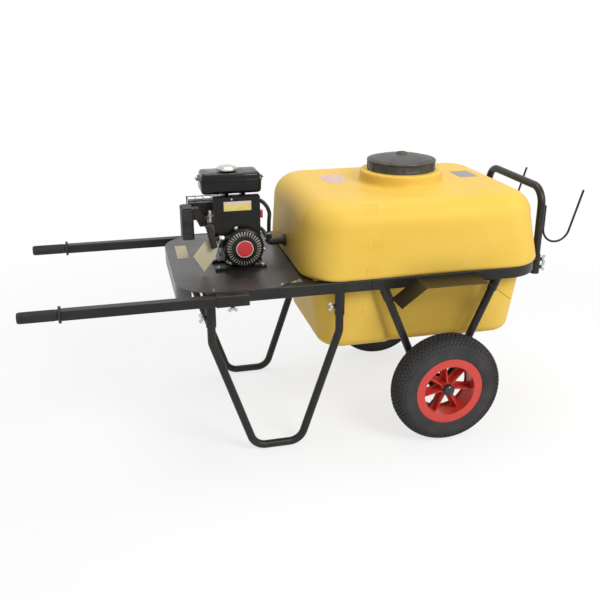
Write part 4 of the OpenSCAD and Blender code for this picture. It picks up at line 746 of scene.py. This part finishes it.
guard_steel = weathered("guard_steel", cloud=(80, 4), span=(0.4, 0.7), fresh=(0.66, 0.62, 0.52),
                        worn=(0.42, 0.39, 0.33), rough=0.38, spread=0.2, metallic=0.6)
guard_steel.grain(500, 2, 0.0002, 0.4)
guard_ring = bmesh.new()
turned_part(guard_ring, [(0.0400, -0.0062), (0.0570, -0.0066), (0.0590, -0.0072), (0.0590, -0.0080),
                         (0.0400, -0.0074), (0.0400, -0.0062)], 96, to_starter)
piece("starter_guard_ring", guard_ring, guard_steel, "frame", "zinc", sharp=40)

# Engine fuel tank: two pressed steel halves seam-welded round the middle, gloss black,
# with an ear at each end, a filler neck and two feet on the cylinder head. Below it, two
# strips of blank film are stuck to the fan cowling.


def pan_ring(half_length, corner, height, inset=0.0):
    """One ring of the pressing, which is 90 mm longer than it is wide."""
    return -half_length, half_length, half_length - 0.045, corner, inset, height


# The welded seam in rings of half length, corner radius and height.
seam = ((0.1040, 0.0160, 0.9150), (0.1045, 0.0165, 0.9166), (0.1066, 0.0186, 0.9168),
        (0.1070, 0.0190, 0.9174), (0.1070, 0.0190, 0.9184), (0.1064, 0.0184, 0.9187),
        (0.1070, 0.0190, 0.9190), (0.1070, 0.0190, 0.9200), (0.1066, 0.0186, 0.9206),
        (0.1012, 0.0166, 0.9208), (0.1001, 0.0165, 0.9222))
pan_round, cover_round = 0.012, 0.011
rings = [pan_ring(0.103, 0.017, 0.8845 - pan_round * cos(a), pan_round * (1 - sin(a)))
         for a in arc(90, 15)]
rings += [pan_ring(*row) for row in seam]
rings += [pan_ring(0.100, 0.0165, 0.9315 + cover_round * sin(a), cover_round * (1 - cos(a)))
          for a in arc(90, 15)]
tank_middle = Vector((sum(corner.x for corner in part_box("fuel_tank")) / 2, -0.040, 0))
pressing = bmesh.new()
for rim in mould(pressing, rings, 8):
    bmesh.ops.contextual_create(pressing, geom=rim)
bmesh.ops.recalc_face_normals(pressing, faces=pressing.faces)
for side in (-1, 1):
    block(pressing, Matrix.Translation((side * 0.1095, 0, 0.9187)), (0.0130, 0.040, 0.0040), 0.0012)
for x in (-0.015, 0.043):
    block(pressing, Matrix.Translation((x, -0.005, 0.8620)), (0.014, 0.050, 0.0216), 0.0012)
turned_part(pressing, [(0, 0.9473), (0.0200, 0.9473), (0.0214, 0.9469), (0.0220, 0.9460),
                       (0.0220, 0.9440), (0.0240, 0.9430), (0.0250, 0.9424), (0, 0.9424)], 48,
            Matrix.Translation((-0.008, -0.005, 0)))
pressing.transform(Matrix.Translation(tank_middle))
piece("fuel_tank_pressed", pressing, engine_black, "frame", "engine_black", "fuel_tank", sharp=35)
ear_bolts = bmesh.new()
for side in (-1, 1):
    turned_part(ear_bolts, [(0, 0.0036), (0.0030, 0.0036), (0.0036, 0.0030), (0.0036, 0), (0, 0)], 6,
                Matrix.Translation((tank_middle.x + side * 0.1110, tank_middle.y, 0.9207)))
piece("fuel_tank_bolts", ear_bolts, bright_zinc, "frame", "zinc", sharp=30)
film_x, film_y = crank.x - 0.0155, -0.1261
pale_film = label_film("pale_film", (0.70, 0.58, 0.16), (0.62, 0.50, 0.13), 0.32)
plain_film = label_film("plain_film", (0.66, 0.54, 0.48), (0.60, 0.47, 0.42), 0.32)
blank_label("cowling_label", pale_film, (film_x, film_y, 0.8322), 0.094, 0.0214, 0.0015, forwards)
blank_label("cowling_label_band", plain_film, (film_x, film_y, 0.8486), 0.094, 0.0110, 0.0015, forwards)

# Starter grip and air filter: moulded in matt black nylon. The grip rests against the
# rope guide, the filter's case is held to the carburettor by its duct.

moulded_black = weathered("moulded_black", cloud=(45, 4), span=(0.4, 0.7), fresh=(0.014, 0.013, 0.012),
                          worn=(0.034, 0.031, 0.029), rough=0.45, spread=0.14, specular_ior_level=0.3)
moulded_black.grain(1200, 2, 0.00014, 0.6, 0.0012)
moulded_black.paint("starter_grip", "air_filter")

# Fuel cap, carburettor and muffler: the cap is pressed and chromed, the carburettor cast
# in brass that has stained, the muffler heat-marked sheet steel with a black wire guard.

chrome = weathered("chrome", cloud=(50, 4), span=(0.4, 0.8), fresh=(0.66, 0.62, 0.58),
                   worn=(0.46, 0.43, 0.40), rough=0.06, spread=0.12, metallic=1.0)
chrome.grain(200, 2, 0.00005, 0.2, 0.0008)
chrome.paint("fuel_cap")
brass = weathered("brass", cloud=(70, 5), span=(0.35, 0.7), fresh=(0.42, 0.33, 0.21),
                  worn=(0.22, 0.17, 0.12), rough=0.3, spread=0.2, metallic=1.0)
brass.grain(600, 3, 0.00015, 0.5, 0.0012)
brass.paint("carburettor")
muffler_steel = weathered("muffler_steel", cloud=(28, 5), span=(0.35, 0.7), fresh=(0.12, 0.115, 0.11),
                          worn=(0.06, 0.045, 0.036), rough=0.45, spread=0.2, metallic=0.7)
muffler_steel.grain(500, 3, 0.0002, 0.5, 0.0015)
muffler_steel.paint("muffler")
engine_black.paint("muffler_guard")

# Stop switch, pressure knob, drain lever and the starter's blank badge: moulded in red
# plastic. The badge is a plain disc in a pale ring, glued to the middle of the housing.

red_plastic = mottled("red_plastic", (90, 3), (0.58, 0.02, 0.025), (0.46, 0.02, 0.022), roughness=0.35)
red_plastic.grain(800, 2, 0.0001, 0.3, 0.001)
red_plastic.paint("stop_switch", "pressure_knob", "drain_lever")
badge = bmesh.new()
turned_part(badge, [(0, 0.0013), (0.0200, 0.0013), (0.0271, 0.0012), (0.0278, 0.0009), (0.0278, 0.0003),
                    (0, 0.0003)], 96, to_starter)
piece("starter_badge", badge, red_plastic, "frame", "red", sharp=40)
white_film = label_film("white_film", (0.80, 0.72, 0.68), (0.72, 0.60, 0.55), 0.35)
badge_ring = bmesh.new()
turned_part(badge_ring, [(0.0277, 0.0003), (0.0277, 0.0012), (0.0281, 0.0014), (0.0293, 0.0013),
                         (0.0297, 0.0009), (0.0297, 0.0003), (0.0277, 0.0003)], 96, to_starter)
piece("starter_badge_ring", badge_ring, white_film, "frame", "pale_plastic", sharp=40)

# Starter pulley, fittings and choke lever: the pulley is moulded in pale nylon, the
# engine's bolts and small fittings and the choke lever are zinc-plated steel.

pale_plastic = mottled("pale_plastic", (60, 3), (0.62, 0.58, 0.48), (0.5, 0.46, 0.38), roughness=0.5)
pale_plastic.paint("starter_pulley")
bright_zinc.paint("engine_fittings", "choke_lever")

# Hoses: two rubber hoses of 14 mm moulded to their bends, pushed on the tails of the
# tank's outlet and the pump. A zinc-plated band clamp with a screw holds each end.

hose_rubber = weathered("hose_rubber", cloud=(60, 4), span=(0.4, 0.7), fresh=(0.012, 0.012, 0.012),
                        worn=(0.028, 0.027, 0.026), rough=0.42, spread=0.15, specular_ior_level=0.4)
hose_rubber.grain(900, 2, 0.0001, 0.4)
hose_radius = 0.007


def on_curve(points, steps):
    """Places along a smooth line that passes through the points."""
    line = []
    for i in range(len(points) - 1):
        a, b, c, d = (Vector(points[min(max(j, 0), len(points) - 1)]) for j in (i - 1, i, i + 1, i + 2))
        for step in range(steps):
            t = step / steps
            bend = (2 * a - 5 * b + 4 * c - d) * t ** 2 + (3 * b - a - 3 * c + d) * t ** 3
            line.append(0.5 * (2 * b + (c - a) * t + bend))
    return line + [Vector(points[-1])]


def hose(name, points):
    """A rubber hose on a smooth line between two tails, with its bore."""
    line = on_curve(points, 3)
    end = len(line) - 1
    ways = [(line[min(i + 1, end)] - line[max(i - 1, 0)]).normalized() for i in range(len(line))]
    tube = bmesh.new()
    ring = bmesh.ops.create_circle(tube, segments=20, radius=hose_radius,
                                   matrix=aimed(line[0], ways[0]))["verts"]
    loop = edges_at(ring)
    for last, place, old, new in zip(line, line[1:], ways, ways[1:]):
        loop, ring = drawn(tube, loop)
        turn = old.rotation_difference(new)
        for v in ring:
            v.co = place + turn @ (v.co - last)
    bmesh.ops.recalc_face_normals(tube, faces=tube.faces)
    made = piece(name, tube, hose_rubber, "frame", "rubber", "hoses", sharp=60,
                 modifiers=[wall_of(0.003)])
    sum((b - a).length for a, b in zip(line, line[1:]))
    return line, ways


outlet_x = hub_x - 0.555
# Places on the hoses; x counts from the outlet, and in the drop from the crankshaft.
arch = ((0, 0, 0.694), (0, 0, 0.715), (0.001, 0, 0.745), (0.003, 0.001, 0.772), (-0.005, 0.004, 0.795),
        (-0.019, 0.010, 0.812), (-0.037, 0.022, 0.821), (-0.057, 0.040, 0.820), (-0.072, 0.062, 0.812),
        (-0.081, 0.086, 0.801))
drop = ((0.0305, 0.106, 0.7925), (0.030, 0.1155, 0.7785), (0.030, 0.116, 0.7685), (0.030, 0.116, 0.7605))
feed = ((0, 0.016, 0.668), (0, 0.027, 0.668), (0, 0.037, 0.669), (-0.001, 0.050, 0.673),
        (-0.003, 0.064, 0.680), (-0.007, 0.078, 0.687), (-0.015, 0.093, 0.692), (-0.025, 0.1016, 0.6945),
        (-0.036, 0.102, 0.6945), (-0.0555, 0.102, 0.6945))
overflow = [(outlet_x + x, y, z) for x, y, z in arch] + [(crank.x + x, y, z) for x, y, z in drop]
suction = [(outlet_x + x, y, z) for x, y, z in feed]
clamps = bmesh.new()
for name, points in (("overflow_hose", overflow), ("suction_hose", suction)):
    line, ways = hose(name, points)
    for at in (1, -2):
        stand = aimed(line[at], ways[at])
        turned_part(clamps, [(0.00702, -0.004), (0.0076, -0.004), (0.0077, -0.0038), (0.0077, 0.0038),
                             (0.0076, 0.004), (0.00702, 0.004), (0.00702, -0.004)], 28, stand)
        block(clamps, stand @ Matrix.Translation((0.0098, 0, 0)), (0.0042, 0.0100, 0.0076), 0.0006)
        turned_part(clamps, [(0, 0.0030), (0.0022, 0.0030), (0.0026, 0.0024), (0.0026, 0), (0, 0)], 6,
                    stand @ Matrix.Translation((0.0100, -0.0048, 0)) @ forwards)
piece("hose_clamps", clamps, bright_zinc, "frame", "zinc", sharp=35)

# Hang tag and card: blank cut board. The tag is tied to the rope guide by a thread ring
# and hangs upright beside the engine; the card lies loose on the engine deck.

card = mottled("card", (60, 5), (0.60, 0.54, 0.36), (0.50, 0.45, 0.30), roughness=0.8)
card.grain(900, 3, 0.00008, 0.5)
card.paint("tags")

# Floor and light: a pale matt floor that keeps the cart's shadow and fades to white away
# from it, a white surround, and two large soft lamps in front and overhead.

floor_paint = Finish("floor_paint", base_color=(0.92, 0.92, 0.92), roughness=0.9, specular_ior_level=0.1)
camera_ray = floor_paint.node("LightPath", {}, {}, "Is Camera Ray")
glossy_ray = floor_paint.node("LightPath", {}, {}, "Is Glossy Ray")
glow = floor_paint.node("Emission", {}, {"Color": (1, 1, 1), "Strength": 1.0})
away = floor_paint.node("VectorMath", {"operation": "LENGTH"}, {0: floor_paint.place}, "Value")
fade = (camera_ray + glossy_ray).smaller(1) * away.mapped(1.0, 2.6, 0.74, 1.0)
painted = Wire(floor_paint, floor_paint.shader.outputs[0])
shown = floor_paint.node("MixShader", {}, {0: fade, 1: painted, 2: glow})
floor_paint.join(floor_paint.tree.nodes["Material Output"].inputs["Surface"], shown)
ground = bmesh.new()
bmesh.ops.create_grid(ground, x_segments=1, y_segments=1, size=12)
floor = as_object("floor", ground, floor_paint.material)

ambient = 0.50
world = bpy.data.worlds.new("surround")
bpy.context.scene.world = world
world.use_nodes = True
sky = Nodes(world.node_tree)
backdrop = sky.tree.nodes["Background"]
direct, clear, shiny = (sky.node("LightPath", {}, {}, "Is " + kind + " Ray")
                        for kind in ("Camera", "Transmission", "Glossy"))
sky.join(backdrop.inputs["Color"], (1, 1, 1))
sky.join(backdrop.inputs["Strength"], direct.larger(clear).larger(shiny).larger(ambient))


def lamp(name, place, aim, size, power):
    """A round soft lamp at a place that shines at an aim."""
    light = bpy.data.lights.new(name, "AREA")
    light.shape = "DISK"
    light.size = size
    light.energy = power
    made = bpy.data.objects.new(name, light)
    made.location = place
    made.rotation_euler = (Vector(place) - Vector(aim)).to_track_quat("Z", "Y").to_euler()
    bpy.context.scene.collection.objects.link(made)


lamp("key_lamp", (1.5, -2.9, 2.9), (0.1, 0, 0.5), 1.8, 98)
lamp("top_lamp", (0.2, 0.6, 3.6), (0, 0, 0.5), 2.4, 45)
bpy.context.scene.view_settings.view_transform = "Standard"
